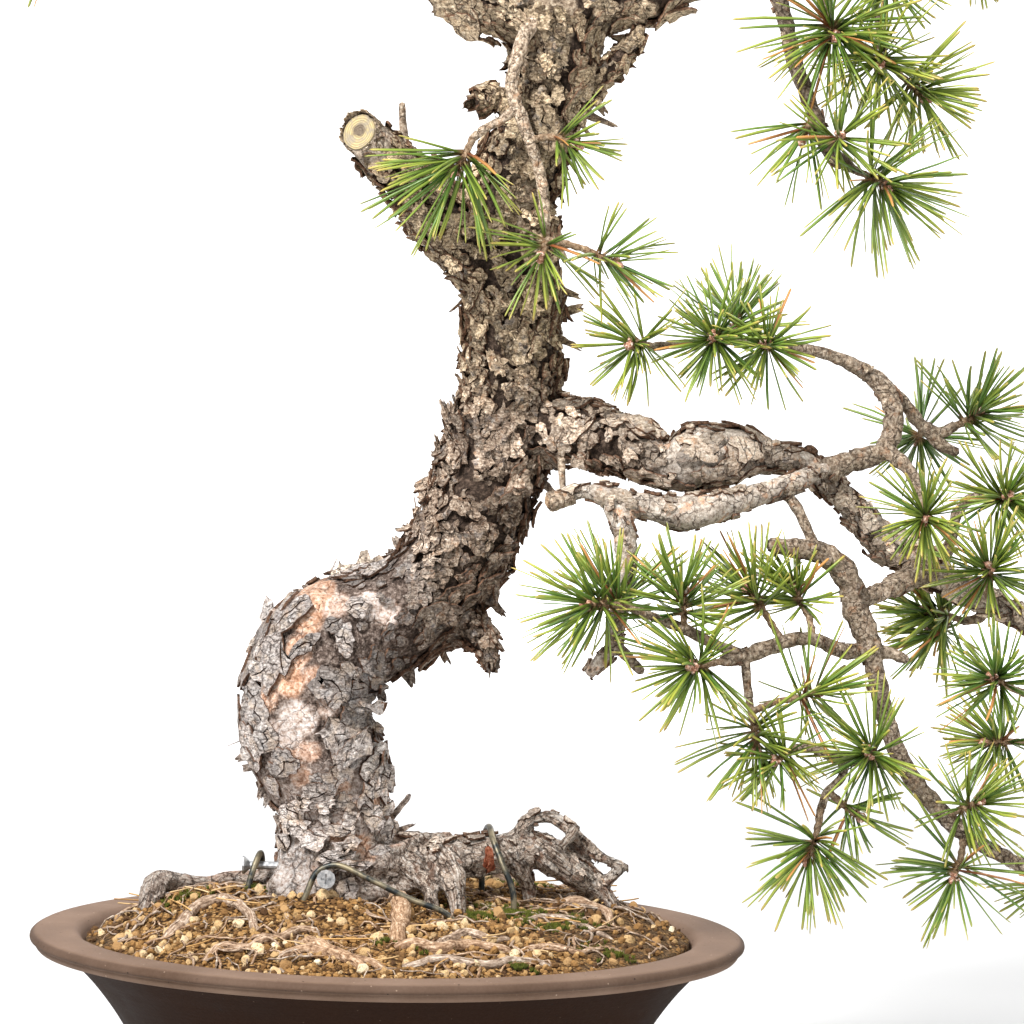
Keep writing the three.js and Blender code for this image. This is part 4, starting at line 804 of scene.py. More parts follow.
def layered_bark(n, size, steps):
    """Thin layers of bark: a height that falls in steps, and how near each place is to a step."""
    wave = n.times(n.noise(size, 5, 0.62), steps)
    edge = n.math("FRACT", wave)
    return n.math("DIVIDE", n.math("FLOOR", wave), steps), edge


def plate_material():
    """Bark plates: silver-grey low on the trunk, brown in the middle, tan above, cream on the branches;
    with painted shade and light by their layer, and painted shade at steps and in cracks.
    """
    n = Nodes("bark_plate")
    fine = n.noise(1.5, 6, 0.74)
    streaks = n.noise(1.1, 4, 0.65, (2.6, 2.6, 0.8))
    grit = n.plus(n.times(fine, 0.62), n.times(streaks, 0.38))
    broad = n.noise(8, 3)
    steps, edge = layered_bark(n, 8, 9)
    across = n.cracks(8.0, 0.05, 0.75, 0.5)
    along = n.cracks(6.5, 0.05, 0.65, 1.9)
    silvery = n.value("silver")
    cracks = n.plus(n.times(across, silvery), n.times(along, n.fit(silvery, 0.0, 1.0, 1.0, 0.3)))
    cracks = n.math("MINIMUM", cracks, 1.0)
    silver = n.ramp(grit, [
        (0.34, (0.04, 0.03, 0.025)), (0.43, (0.22, 0.185, 0.165)), (0.52, (0.44, 0.395, 0.365)),
        (0.63, (0.78, 0.735, 0.70)),
    ])
    brown = n.ramp(grit, [
        (0.33, (0.022, 0.014, 0.010)), (0.43, (0.12, 0.082, 0.057)), (0.52, (0.33, 0.25, 0.185)),
        (0.64, (0.72, 0.62, 0.51)),
    ])
    tan = n.ramp(grit, [
        (0.33, (0.03, 0.02, 0.011)), (0.43, (0.15, 0.108, 0.066)), (0.52, (0.42, 0.32, 0.205)),
        (0.64, (0.80, 0.67, 0.49)),
    ])
    cream = n.ramp(grit, [
        (0.33, (0.10, 0.065, 0.042)), (0.43, (0.34, 0.26, 0.19)), (0.52, (0.54, 0.445, 0.35)),
        (0.64, (0.74, 0.665, 0.57)),
    ])
    colour = n.mix(n.value("upper"), brown, tan)
    colour = n.mix(silvery, colour, silver)
    colour = n.mix(n.value("pale"), colour, cream)
    ochre = n.times(n.fit(n.noise(6, 4, 0.65), 0.50, 0.62), n.times(silvery, 0.6))
    colour = n.mix(ochre, colour, n.mix(grit, (0.06, 0.035, 0.02), (0.78, 0.60, 0.44)))
    blue = n.times(n.fit(n.noise(5, 2), 0.54, 0.68), n.fit(n.value("tone"), 0.2, 0.7, 0.45, 0.0))
    colour = n.mix(blue, colour, (0.20, 0.215, 0.235))
    orange = n.times(n.fit(n.noise(4.3, 3), 0.58, 0.72), n.fit(n.value("pale"), 0.0, 1.0, 0.35, 0.8))
    colour = n.mix(orange, colour, (0.46, 0.24, 0.12))
    tone = n.fit(n.plus(n.value("tone"), n.times(broad, 0.7)), 0.1, 1.7, 0.36, 2.0)
    # Painted shade and light: the high value darkens plates that lie low among the layers and lightens
    # those on top.
    colour = tinted(n, colour, n.times(tone, n.fit(n.value("high"), 0.0, 1.0, 0.62, 1.2)))
    # Painted shade at the foot of each layer's step and a painted highlight just past it.
    painted_step_shade_and_highlight = n.ramp(edge, [(0.0, (0.3,) * 3), (0.10, (0.75,) * 3), (0.2, (1.25,) * 3), (0.5, (1.0,) * 3)])
    colour = tinted(n, colour, painted_step_shade_and_highlight)
    # Painted shade in the cracks.
    colour = n.mix(n.times(cracks, 0.8), colour, (0.025, 0.017, 0.013))
    rust = n.mix(n.fit(fine, 0.35, 0.65), (0.035, 0.017, 0.010), (0.25, 0.13, 0.075))
    colour = n.mix(n.value("side"), colour, rust)
    height = n.plus(n.times(steps, 2.6), n.times(grit, 1.3))
    height = n.plus(height, n.times(cracks, -0.5))
    return n.finish(colour, 0.9, n.bump(height, 1.3), Specular_IOR_Level=0.2)


def inner_bark_material():
    """The skin between the plates: salmon to cream where it is bare; elsewhere layered and painted dark as
    shade between the plates, with painted shade at its steps, in its cracks and in root creases.
    """
    n = Nodes("inner_bark")
    fine = n.noise(1.9, 7, 0.7)
    broad = n.noise(12, 3)
    steps, edge = layered_bark(n, 8, 10)
    cracks = n.cracks(6.5, 0.05, 0.6)
    salmon = n.ramp(fine, [
        (0.34, (0.15, 0.065, 0.035)), (0.44, (0.46, 0.235, 0.135)), (0.54, (0.66, 0.41, 0.28)),
        (0.66, (0.82, 0.66, 0.54)),
    ])
    cream = n.ramp(fine, [
        (0.33, (0.17, 0.11, 0.08)), (0.43, (0.50, 0.39, 0.325)), (0.54, (0.74, 0.66, 0.61)),
        (0.68, (0.86, 0.82, 0.79)),
    ])
    tan = n.ramp(fine, [
        (0.30, (0.05, 0.032, 0.02)), (0.44, (0.19, 0.135, 0.09)), (0.58, (0.40, 0.315, 0.225)),
        (0.74, (0.60, 0.51, 0.40)),
    ])
    grey = n.ramp(fine, [
        (0.30, (0.09, 0.065, 0.048)), (0.44, (0.37, 0.30, 0.24)), (0.58, (0.62, 0.54, 0.46)),
        (0.74, (0.82, 0.76, 0.69)),
    ])
    dark = n.ramp(fine, [
        (0.30, (0.008, 0.005, 0.004)), (0.50, (0.045, 0.029, 0.02)), (0.70, (0.16, 0.11, 0.08)),
    ])
    dull = n.ramp(fine, [
        (0.34, (0.018, 0.011, 0.008)), (0.50, (0.12, 0.085, 0.068)), (0.66, (0.42, 0.34, 0.29)),
    ])
    bare = n.mix(n.value("pale"), salmon, cream)
    strand = n.grain_noise(1.4, 6, 0.72)
    fibre = n.ramp(strand, [
        (0.34, (0.024, 0.013, 0.009)), (0.42, (0.20, 0.125, 0.082)), (0.48, (0.52, 0.40, 0.31)),
        (0.54, (0.80, 0.69, 0.58)), (0.64, (0.97, 0.92, 0.86)),
    ])
    fibre = n.mix(n.fit(fine, 0.48, 0.38), fibre, (0.035, 0.022, 0.016))
    rusty = n.fit(n.noise(8, 3), 0.56, 0.66)
    fibre = n.mix(n.times(rusty, 0.7), fibre, n.mix(strand, (0.12, 0.045, 0.022), (0.62, 0.33, 0.20)))
    scuff = n.times(n.fit(n.noise(6, 3), 0.56, 0.66), 0.75)
    grey = n.mix(scuff, grey, n.mix(fine, (0.35, 0.16, 0.075), (0.72, 0.44, 0.28)))
    grey = n.mix(n.value("root"), grey, fibre)
    limb = n.mix(n.value("smooth"), tan, grey)
    # Painted shade: skin that is neither bare nor limb is painted near-black, or dull brown on the silver
    # trunk, as shade between the plates.
    painted_gap_shade = n.mix(n.value("silver"), dark, dull)
    colour = n.mix(n.value("limb"), n.mix(n.value("bare"), painted_gap_shade, bare), limb)
    colour = tinted(n, colour, n.fit(broad, 0.3, 0.7, 0.72, 1.25))
    # Painted shade at each layer's step, weaker where the inner bark is bare.
    rim = n.math("MAXIMUM", n.fit(edge, 0.0, 0.14, 0.45, 1.0), n.times(n.value("bare"), 0.78))
    colour = tinted(n, colour, rim)
    # Painted shade in the cracks.
    shown = n.times(cracks, n.fit(n.value("bare"), 0.0, 1.0, 0.8, 0.4))
    colour = n.mix(shown, colour, (0.03, 0.017, 0.011))
    # Painted shade in the roots' creases.
    creases = n.times(n.cracks(9, 0.075, 0.85, 1.6), n.value("root"))
    colour = n.mix(n.times(creases, 0.65), colour, (0.03, 0.017, 0.011))
    height = n.plus(n.times(steps, 2.2), fine)
    height = n.plus(height, n.times(n.value("root"), n.times(strand, 2.2)))
    height = n.plus(height, n.times(creases, -1.2))
    height = n.plus(height, n.times(cracks, -0.4))
    return n.finish(colour, 0.88, n.bump(height, 1.2), Specular_IOR_Level=0.2)


def twig_material():
    """Thin branches and young shoots: grey-tan bark with scale scars, painted shade in its cracks and
    orange scuffs.
    """
    n = Nodes("twig_bark")
    fine = n.noise(1.6, 7, 0.74)
    broad = n.noise(7, 3)
    scales = n.cells(2.4)
    cracks = n.cracks(4.0, 0.07, 0.75)
    colour = n.ramp(fine, [
        (0.33, (0.04, 0.026, 0.017)), (0.43, (0.22, 0.155, 0.105)), (0.53, (0.46, 0.355, 0.26)),
        (0.66, (0.76, 0.65, 0.52)),
    ])
    scuff = n.fit(n.noise(5, 3), 0.56, 0.68, 0.0, 0.6)
    colour = n.mix(scuff, colour, n.mix(fine, (0.22, 0.09, 0.04), (0.62, 0.36, 0.20)))
    young = n.ramp(fine, [
        (0.3, (0.12, 0.06, 0.028)), (0.5, (0.36, 0.21, 0.105)), (0.72, (0.62, 0.45, 0.27)),
    ])
    colour = n.mix(n.value("young"), colour, young)
    colour = tinted(n, colour, n.fit(scales, 0.25, 0.8, 1.1, 0.72))
    colour = tinted(n, colour, n.fit(broad, 0.3, 0.7, 0.7, 1.25))
    colour = tinted(n, colour, n.fit(n.value("dark"), -1.0, 1.0, 1.45, 0.42))
    # Painted shade in the cracks of old bark.
    shown = n.times(cracks, n.fit(n.value("young"), 0.0, 0.4, 0.8, 0.0))
    colour = n.mix(shown, colour, (0.03, 0.018, 0.012))
    height = n.plus(n.times(fine, 1.3), n.times(scales, -0.5))
    height = n.plus(height, n.times(cracks, -0.5))
    return n.finish(colour, 0.88, n.bump(height, 1.0), Specular_IOR_Level=0.2)


def needle_material():
    """Waxy green, yellower towards the tip, darker towards the base partly as painted shade inside the
    spray, and brown in the sheath.
    """
    n = Nodes("needle_green")
    along = n.value("along")
    tint = n.value("tint")
    # deep and light are the colours at base and tip: partly the needle's own yellower tip, partly painted
    # shade on the base inside the spray.
    deep = n.mix(tint, (0.038, 0.105, 0.016), (0.14, 0.22, 0.028))
    light = n.mix(tint, (0.13, 0.235, 0.034), (0.42, 0.44, 0.06))
    body = n.mix(n.fit(along, 0.05, 0.95), deep, light)
    dry = n.times(n.fit(along, 0.82, 0.98), n.fit(tint, 0.2, 0.7, 0.4, 1.0))
    tip = n.mix(dry, body, (0.50, 0.36, 0.10))
    sheath = n.mix(n.fit(along, 0.03, 0.14), (0.40, 0.24, 0.13), tip)
    dead = n.mix(n.fit(along, 0.1, 0.9), (0.26, 0.08, 0.03), (0.58, 0.28, 0.08))
    colour = n.mix(n.value("dead"), sheath, dead)
    streak = n.noise(0.5, 2)
    roughness = n.fit(streak, 0.3, 0.7, 0.32, 0.48)
    return n.finish(colour, roughness, n.bump(streak, 0.05), Specular_IOR_Level=0.5)


def bud_material():
    """Resinous winter bud: pink-brown scales with white resin."""
    n = Nodes("bud_scale")
    scales = n.cells(0.9)
    colour = n.mix(n.fit(scales, 0.2, 0.7), (0.70, 0.40, 0.28), (0.26, 0.10, 0.055))
    resin = n.fit(n.noise(1.6, 3), 0.54, 0.66)
    colour = n.mix(resin, colour, (0.84, 0.72, 0.62))
    return n.finish(colour, 0.5, n.bump(scales, -0.25), Specular_IOR_Level=0.4)


def clay_material():
    """Unglazed brown stoneware with pale and dark specks and faint turning marks, and painted shade below
    the rim.
    """
    n = Nodes("stoneware")
    cloud = n.noise(38, 4)
    grain = n.noise(1.3, 3)
    base = n.ramp(cloud, [
        (0.3, (0.138, 0.086, 0.058)), (0.55, (0.182, 0.119, 0.085)), (0.75, (0.225, 0.153, 0.112)),
    ])
    # Painted shade: where body is set, the clay turns near-black as if in the rim's shade, on the wall,
    # the feet and part of the lip.
    body = n.mix(n.value("body"), base, n.mix(cloud, (0.012, 0.0045, 0.002), (0.026, 0.011, 0.0055)))
    pale = n.fit(n.cells(6.2), 0.07, 0.045)
    dark = n.fit(n.cells(6.7), 0.075, 0.05)
    rim = n.fit(n.value("body"), 0.0, 1.0, 1.0, 0.12)
    colour = n.mix(n.times(pale, n.times(rim, 0.75)), body, (0.46, 0.34, 0.25))
    colour = n.mix(n.times(dark, 0.8), colour, (0.02, 0.014, 0.012))
    colour = n.mix(n.times(n.fit(grain, 0.4, 0.9, 0.0, 0.16), rim), colour, (0.30, 0.21, 0.16))
    lines = n.noise(3.2, 3, 0.5, (60, 60, 1))
    height = n.plus(n.times(grain, 0.5), n.times(lines, 0.8))
    height = n.plus(height, n.times(dark, -1.2))
    roughness = n.fit(cloud, 0.3, 0.7, 0.62, 0.78)
    return n.finish(colour, roughness, n.bump(height, 0.28), Specular_IOR_Level=0.07)


def grain_material():
    """Baked-clay grains: ochre to brown, each grain its own shade."""
    n = Nodes("baked_clay_grain")
    fine = n.noise(0.8, 4)
    shade = n.ramp(n.value("tone"), [
        (0.0, (0.06, 0.03, 0.015)), (0.3, (0.20, 0.105, 0.038)), (0.55, (0.38, 0.205, 0.07)),
        (0.8, (0.50, 0.31, 0.13)), (1.0, (0.60, 0.44, 0.25)),
    ])
    colour = n.mix(n.fit(fine, 0.35, 0.65, 0.0, 0.6), shade, (0.13, 0.07, 0.03))
    return n.finish(colour, 0.95, n.bump(fine, 0.35), Specular_IOR_Level=0.15)


def pumice_material():
    """Pumice: pale, pored stones, with painted shade in their pores."""
    n = Nodes("pumice")
    pores = n.noise(1.2, 5, 0.7)
    shade = n.ramp(n.value("tone"), [
        (0.0, (0.36, 0.205, 0.085)), (0.4, (0.55, 0.37, 0.18)), (0.75, (0.66, 0.50, 0.30)),
        (1.0, (0.76, 0.66, 0.48)),
    ])
    # Painted shade in the pores.
    colour = n.mix(n.fit(pores, 0.5, 0.34), shade, (0.26, 0.155, 0.07))
    return n.finish(colour, 0.95, n.bump(pores, 0.6), Specular_IOR_Level=0.15)


def soil_material():
    """Fine crumbs between the grains, each its own tone, with painted shade between them and humus on the
    right.
    """
    n = Nodes("fine_soil")
    crumbs = n.cells(1.6)
    shade = n.node("ShaderNodeSeparateColor", {"Color": n.cells(1.6, output="Color")}).outputs[0]
    fine = n.noise(3.0, 6, 0.7)
    tone = n.plus(n.times(shade, 0.55), n.times(fine, 0.45))
    colour = n.ramp(tone, [
        (0.2, (0.02, 0.010, 0.006)), (0.4, (0.11, 0.055, 0.022)), (0.6, (0.33, 0.175, 0.06)),
        (0.85, (0.52, 0.32, 0.14)),
    ])
    # Painted shade between the crumbs.
    colour = tinted(n, colour, n.fit(crumbs, 0.3, 0.8, 1.1, 0.35))
    humus = n.times(n.value("humus"), n.fit(n.noise(11, 3), 0.35, 0.55))
    colour = n.mix(humus, colour, n.mix(tone, (0.02, 0.012, 0.007), (0.20, 0.12, 0.06)))
    height = n.plus(fine, n.times(crumbs, -1.4))
    return n.finish(colour, 1.0, n.bump(height, 1.3), Specular_IOR_Level=0.1)


def root_material():
    """Thin barked roots: pink-tan, turning grey-white by each root's own tone."""
    n = Nodes("root_bark")
    fine = n.plus(n.times(n.noise(2.0, 5, 0.65), 0.4), n.times(n.grain_noise(0.9), 0.6))
    colour = n.ramp(fine, [
        (0.38, (0.07, 0.034, 0.018)), (0.46, (0.24, 0.135, 0.072)), (0.54, (0.43, 0.275, 0.165)),
        (0.63, (0.68, 0.53, 0.39)),
    ])
    grey = n.ramp(fine, [
        (0.38, (0.06, 0.04, 0.028)), (0.5, (0.28, 0.21, 0.16)), (0.62, (0.66, 0.58, 0.49)),
    ])
    colour = n.mix(n.value("tone"), colour, grey)
    return n.finish(colour, 0.88, n.bump(fine, 0.5), Specular_IOR_Level=0.2)


def moss_material():
    """Moss: dark at the foot of each leaf and yellow-green at its tip."""
    n = Nodes("moss")
    tint = n.value("tone")
    colour = n.mix(tint, (0.026, 0.038, 0.006), (0.14, 0.15, 0.02))
    return n.finish(colour, 0.8, Specular_IOR_Level=0.2)


def litter_material():
    """Fallen needles and scraps."""
    n = Nodes("fallen_litter")
    colour = n.ramp(n.value("tone"), [
        (0.0, (0.24, 0.12, 0.05)), (0.5, (0.56, 0.32, 0.11)), (1.0, (0.68, 0.52, 0.30)),
    ])
    return n.finish(colour, 0.7, Specular_IOR_Level=0.3)


def metal_material(name, dark, light, scale, metallic, roughness):
    """Worn metal that clouds from one colour to another."""
    n = Nodes(name)
    worn = n.noise(scale, 4)
    colour = n.mix(n.fit(worn, 0.42, 0.62), dark, light)
    dull = n.fit(worn, 0.3, 0.7, roughness, roughness + 0.2)
    return n.finish(colour, dull, n.bump(worn, 0.08), Metallic=metallic)


def cut_wood_material():
    """Sawn end grain: rings round the middle and a dark heart."""
    n = Nodes("sawn_wood")
    wobble = n.noise(5, 2)
    rings = n.math("SINE", n.times(n.plus(n.value("out"), n.times(wobble, 0.1)), 46))
    pale = n.mix(n.fit(rings, -1, 1), (0.33, 0.25, 0.13), (0.52, 0.42, 0.22))
    pale = n.mix(n.fit(n.noise(4, 4), 0.46, 0.60), pale, (0.30, 0.25, 0.18))
    heart = n.fit(n.plus(n.value("out"), n.times(wobble, 0.7)), 0.62, 0.80)
    colour = n.mix(heart, n.mix(n.noise(1.5, 4), (0.035, 0.026, 0.020), (0.26, 0.20, 0.14)), pale)
    colour = n.mix(n.fit(n.value("out"), 0.9, 1.0), colour, (0.12, 0.09, 0.065))
    return n.finish(colour, 0.8, n.bump(rings, 0.12), Specular_IOR_Level=0.2)


def pad_material():
    """Red inner bark."""
    n = Nodes("red_inner_bark")
    fine = n.noise(1.4, 6, 0.7)
    colour = n.ramp(fine, [
        (0.32, (0.05, 0.012, 0.006)), (0.5, (0.27, 0.075, 0.035)), (0.68, (0.50, 0.22, 0.13)),
    ])
    return n.finish(colour, 0.85, n.bump(fine, 0.8), Specular_IOR_Level=0.2)


def plastic_material():
    """Black plastic with a fine grain."""
    n = Nodes("mesh_plastic")
    fine = n.noise(1.2, 2)
    return n.finish(n.mix(fine, (0.012, 0.012, 0.012), (0.03, 0.03, 0.03)), 0.45, n.bump(fine, 0.05))


PLATE = plate_material()
INNER_BARK = inner_bark_material()
TWIG = twig_material()
NEEDLE = needle_material()
BUD = bud_material()
CLAY = clay_material()
GRAIN = grain_material()
PUMICE = pumice_material()
SOIL = soil_material()
ROOT = root_material()
MOSS = moss_material()
LITTER = litter_material()
WIRE = metal_material("dark_wire", (0.03, 0.034, 0.034), (0.25, 0.21, 0.135), 7, 0.7, 0.38)
ZINC = metal_material("galvanised_steel", (0.34, 0.35, 0.36), (0.62, 0.62, 0.62), 2.5, 0.85, 0.42)
CUT_WOOD = cut_wood_material()
PAD = pad_material()
PLASTIC = plastic_material()


# Camera, lights and floor.


def add_camera():
    """A camera where the photograph's was: far off, looking slightly down and a little rolled."""
    forward = Vector((
        math.sin(CAMERA_YAW) * math.cos(CAMERA_PITCH),
        math.cos(CAMERA_YAW) * math.cos(CAMERA_PITCH),
        math.sin(CAMERA_PITCH),
    ))
    right = forward.cross(Vector((0, 0, 1))).normalized()
    up = right.cross(forward)
    tilted_right = right * math.cos(CAMERA_ROLL) + up * math.sin(CAMERA_ROLL)
    tilted_up = up * math.cos(CAMERA_ROLL) - right * math.sin(CAMERA_ROLL)
    data = bpy.data.cameras.new("camera")
    data.lens = CAMERA_LENS
    data.sensor_width = CAMERA_SENSOR
    data.clip_start, data.clip_end = 0.05, 50
    camera = bpy.data.objects.new("camera", data)
    turn = Matrix((tilted_right, tilted_up, -forward)).transposed().to_4x4()
    place = Vector(np.array(CAMERA_PLACE) * MM + POT_AXIS)
    camera.matrix_world = Matrix.Translation(place) @ turn
    bpy.context.scene.collection.objects.link(camera)
    bpy.context.scene.camera = camera


def add_light(name, place, target, size, power):
    """A round soft light, in metres and watts."""
    data = bpy.data.lights.new(name, "AREA")
    data.shape = "DISK"
    data.size = size
    data.energy = power
    light = bpy.data.objects.new(name, data)
    light.location = Vector(place)
    light.rotation_mode = "QUATERNION"
    light.rotation_quaternion = (Vector(target) - Vector(place)).to_track_quat("-Z", "Y")
    bpy.context.scene.collection.objects.link(light)


def add_stage():
    """A pale sheet in metres, a floor that curves up far behind into a wall, and the studio's lights."""
    half, front, back, bend, top, steps = 9.0, -9.0, 6.0, 2.0, 7.0, 12
    profile = [(front, 0.0)]
    profile += [
        (back + bend * math.sin(a), bend - bend * math.cos(a))
        for a in np.linspace(0, math.pi / 2, steps)
    ]
    profile.append((back + bend, top))
    points = [(x, y, z) for y, z in profile for x in (-half, half)]
    faces = [(2 * i, 2 * i + 1, 2 * i + 3, 2 * i + 2) for i in range(len(profile) - 1)]
    data = bpy.data.meshes.new("floor")
    data.from_pydata(points, [], faces)
    for polygon in data.polygons:
        polygon.use_smooth = True
    n = Nodes("pale_floor")
    n.finish((0.66, 0.66, 0.66), 0.9, Specular_IOR_Level=0.1)
    data.materials.append(n.material)
    floor = bpy.data.objects.new("floor", data)
    bpy.context.scene.collection.objects.link(floor)
    world = bpy.data.worlds.new("studio")
    world.use_nodes = True
    sky = world.node_tree.nodes["Background"]
    sky.inputs["Color"].default_value = (1, 1, 1, 1)
    sky.inputs["Strength"].default_value = 0.56
    bpy.context.scene.world = world
    bpy.context.scene.view_settings.view_transform = "Standard"
    add_light("key", (-1.2, -1.75, 2.35), (0, 0, 0.3), 0.8, 165)
    add_light("fill", (2.2, -1.7, 1.2), (0, 0, 0.3), 1.4, 26)
    add_light("rim", (1.2, 1.7, 2.2), (0, 0, 0.3), 1.0, 32)
    add_light("backdrop", (0, 2.6, 3.4), (0, 8, 1.0), 3.0, 620)


# Pot.


def lathe(shape, outline, sides, **values):
    """A closed ring of revolution from a closed outline of radius and height."""
    angle = ring_angles(sides)
    points = np.stack([
        outline[:, None, 0] * np.cos(angle),
        outline[:, None, 0] * np.sin(angle),
        np.repeat(outline[:, 1:2], sides, axis=1),
    ], axis=-1)
    n = len(outline)
    quads = ring_faces(n + 1, sides) % (n * sides)
    shape.add(points, quads, **{key: np.repeat(value, sides) for key, value in values.items()})


def rounded_outline(corners, pitch=1.2):
    """A closed outline with each corner cut round by its own radius: corners are r, z, radius."""
    points = []
    n = len(corners)
    for i, (r, z, radius) in enumerate(corners):
        here = np.array([r, z])
        before = np.array(corners[i - 1][:2])
        after = np.array(corners[(i + 1) % n][:2])
        if radius == 0:
            points.append(here)
            continue
        a, b = unit(before - here), unit(after - here)
        reach = min(radius, 0.45 * np.linalg.norm(before - here), 0.45 * np.linalg.norm(after - here))
        start, end = here + a * reach, here + b * reach
        steps = max(3, round(reach / pitch) + 2)
        for t in np.linspace(0, 1, steps):
            points.append((1 - t) ** 2 * start + 2 * t * (1 - t) * here + t * t * end)
    return np.array(points)


def add_pot():
    """The pot: a curved wall, a broad rim with a fine groove under its lip, three feet and its holes."""
    shape = Shape()
    wall = [[103, 0, FOOT_HEIGHT], [109, 0, 25], [118, 0, 46], [131, 0, 65], [144.5, 0, 79.6]]
    wall = smooth_path(wall, 4)[:, [0, 2]]
    inside = [[THROAT_RADIUS, 0, 84], [123, 0, 67], [110, 0, 49], [102, 0, 31], [96, 0, FLOOR_TOP]]
    inside = smooth_path(inside, 4)[:, [0, 2]]
    corners = [[0.01, FLOOR_TOP, 0], [40, FLOOR_TOP, 0]]
    corners += [[r, z, 0] for r, z in inside[::-1]]
    corners += [
        [138.2, 87.2, 1.2], [141, RIM_HEIGHT, 2.6], [159.0, RIM_HEIGHT, 1.6], [RIM_RADIUS, 88.2, 1.6],
        [RIM_RADIUS, 86.0, 0.8], [159.2, 85.2, 0.4], [159.4, 84.2, 0.6], [158.2, 82.0, 1.0],
        [146.5, 81.2, 0.8],
    ]
    corners += [[r, z, 0] for r, z in wall[::-1]]
    corners += [[100, FOOT_HEIGHT, 1.5], [40, FOOT_HEIGHT, 0], [0.01, FOOT_HEIGHT, 0]]
    outline = rounded_outline(corners)
    outside = outline[:, 0] > np.interp(outline[:, 1], wall[:, 1], wall[:, 0]) - 4
    # body marks painted shade: 1 on the outer wall below the rim, up to 0.56 on the lip's outer face.
    body = np.where(outline[:, 1] < 81.5, 1.0, 0.56 * smoothstep(158.5, 160.5, outline[:, 0])) * outside
    lathe(shape, outline[::-1], 180, body=body[::-1])
    for angle in FOOT_ANGLES:
        add_foot(shape, math.radians(angle))
    pot = piece("pot_body", shape, [CLAY], ["pot"])
    drill(pot, [(*DRAIN_CENTRE, DRAIN_RADIUS)] + [(x, y, WIRE_HOLE_RADIUS) for x, y in WIRE_HOOKS])


def drill(target, holes):
    """Cuts upright round holes through the floor of the pot."""
    shape = Shape()
    for x, y, radius in holes:
        line = np.array([[x, y, 2.0], [x, y, 24.0]])
        tube(shape, line, np.full(2, radius), 32, rounded=0)
    drills = piece("drills", shape, [CLAY])
    cut = target.modifiers.new("cut", "BOOLEAN")
    cut.operation = "DIFFERENCE"
    cut.object = drills
    bpy.context.view_layer.update()
    graph = bpy.context.evaluated_depsgraph_get()
    target.data = bpy.data.meshes.new_from_object(target.evaluated_get(graph), depsgraph=graph)
    target.modifiers.clear()
    bpy.data.objects.remove(drills)


def add_foot(shape, middle):
    """A foot cut from a ring, with a soft bottom edge and sloped ends."""
    half, steps, middle_radius = 0.31, 18, 93
    section = rounded_outline([[84.8, 9, 0], [101.2, 9, 0], [101.0, 0, 1.6], [85, 0, 1.6]], 0.8)
    angles = middle + np.linspace(-half, half, steps)
    points = []
    for i, a in enumerate(angles):
        pinch = 1 - 0.06 * (i in (0, steps - 1))
        s = section.copy()
        s[:, 0] = middle_radius + (s[:, 0] - middle_radius) * pinch
        points.append(np.stack([s[:, 0] * math.cos(a), s[:, 0] * math.sin(a), s[:, 1]], axis=1))
    sides = len(section)
    j = np.arange(1, sides - 1)
    last = (steps - 1) * sides
    ends = [fan(0, j + 1, j), fan(last, last + j, last + j + 1)]
    faces = np.concatenate([halved(ring_faces(steps, sides)), *ends])
    # The feet take the body's full painted shade.
    shape.add(np.concatenate(points), faces[:, ::-1], body=1.0)


# Soil.


def soil_height(x, y):
    """The soil's mound, with a bump under the right root and heaps before the trunk and the left root."""
    edge = SOIL_EDGE + 2 * x / THROAT_RADIUS
    crest = SOIL_CREST + 0.07 * y
    outward = np.minimum(1, np.hypot(x, y) / THROAT_RADIUS)
    bump = 3 * np.exp(-((x - 95) ** 2 + (y - 12) ** 2) / (2 * 18**2))
    heap = 8.0 * np.exp(-((x + 36) ** 2) / (2 * 27**2) - (y + 34) ** 2 / (2 * 12**2))
    heap = np.maximum(heap, 9.5 * np.exp(-((x + 80) ** 2) / (2 * 25**2) - (y + 12) ** 2 / (2 * 13**2)))
    return edge + (crest - edge) * (1 - outward**3.4) + bump + heap


def ground(x, y):
    """The soil's top with its lumps."""
    x, y = np.asarray(x, float), np.asarray(y, float)
    p = np.stack([x, y, np.zeros_like(x)], axis=-1).reshape(-1, 3)
    lumps = 1.1 * noise(p, 22, 3) + 0.7 * noise(p, 7, 4)
    rim = smoothstep(THROAT_RADIUS, THROAT_RADIUS - 12, np.hypot(x, y))
    return soil_height(x, y) - 1.4 + lumps.reshape(x.shape) * (0.3 + 0.7 * rim)


def humus_at(points):
    """Where the soil is dark and full of roots: the right side and the far left."""
    x, y = points[:, 0], points[:, 1]
    right = smoothstep(48, 78, x + 0.25 * y + 10 * noise(points, 20, 61))
    left = smoothstep(-108, -124, x + 6 * noise(points, 14, 62))
    return np.clip(right + left, 0, 1)


def add_soil():
    """The bed of soil: rings over its top, then down inside the pot's wall to the floor."""
    shape = Shape()
    sides, steps, floor = 150, 64, FLOOR_TOP + 0.4
    radii = np.concatenate([np.linspace(2, 136.2, steps), [136.2, 105, 95.4]])
    heights = [None] * steps + [84, 46, floor]
    angle = ring_angles(sides)
    rings = []
    for radius, height in zip(radii, heights):
        x, y = radius * np.cos(angle), radius * np.sin(angle)
        z = ground(x, y) if height is None else np.full(sides, height)
        rings.append(np.stack([x, y, z], axis=1))
    points = np.concatenate(rings + [[[0, 0, float(ground(0, 0))], [0, 0, floor]]])
    n = len(radii) * sides
    j, k = ring_steps(sides)
    ends = [fan(n, j, k), fan(n + 1, k + n - sides, j + n - sides)]
    faces = np.concatenate([halved(ring_faces(len(radii), sides)[:, ::-1]), *ends])
    shape.add(points, faces, humus=humus_at(points))
    piece("soil_bed", shape, [SOIL], ["soil"])


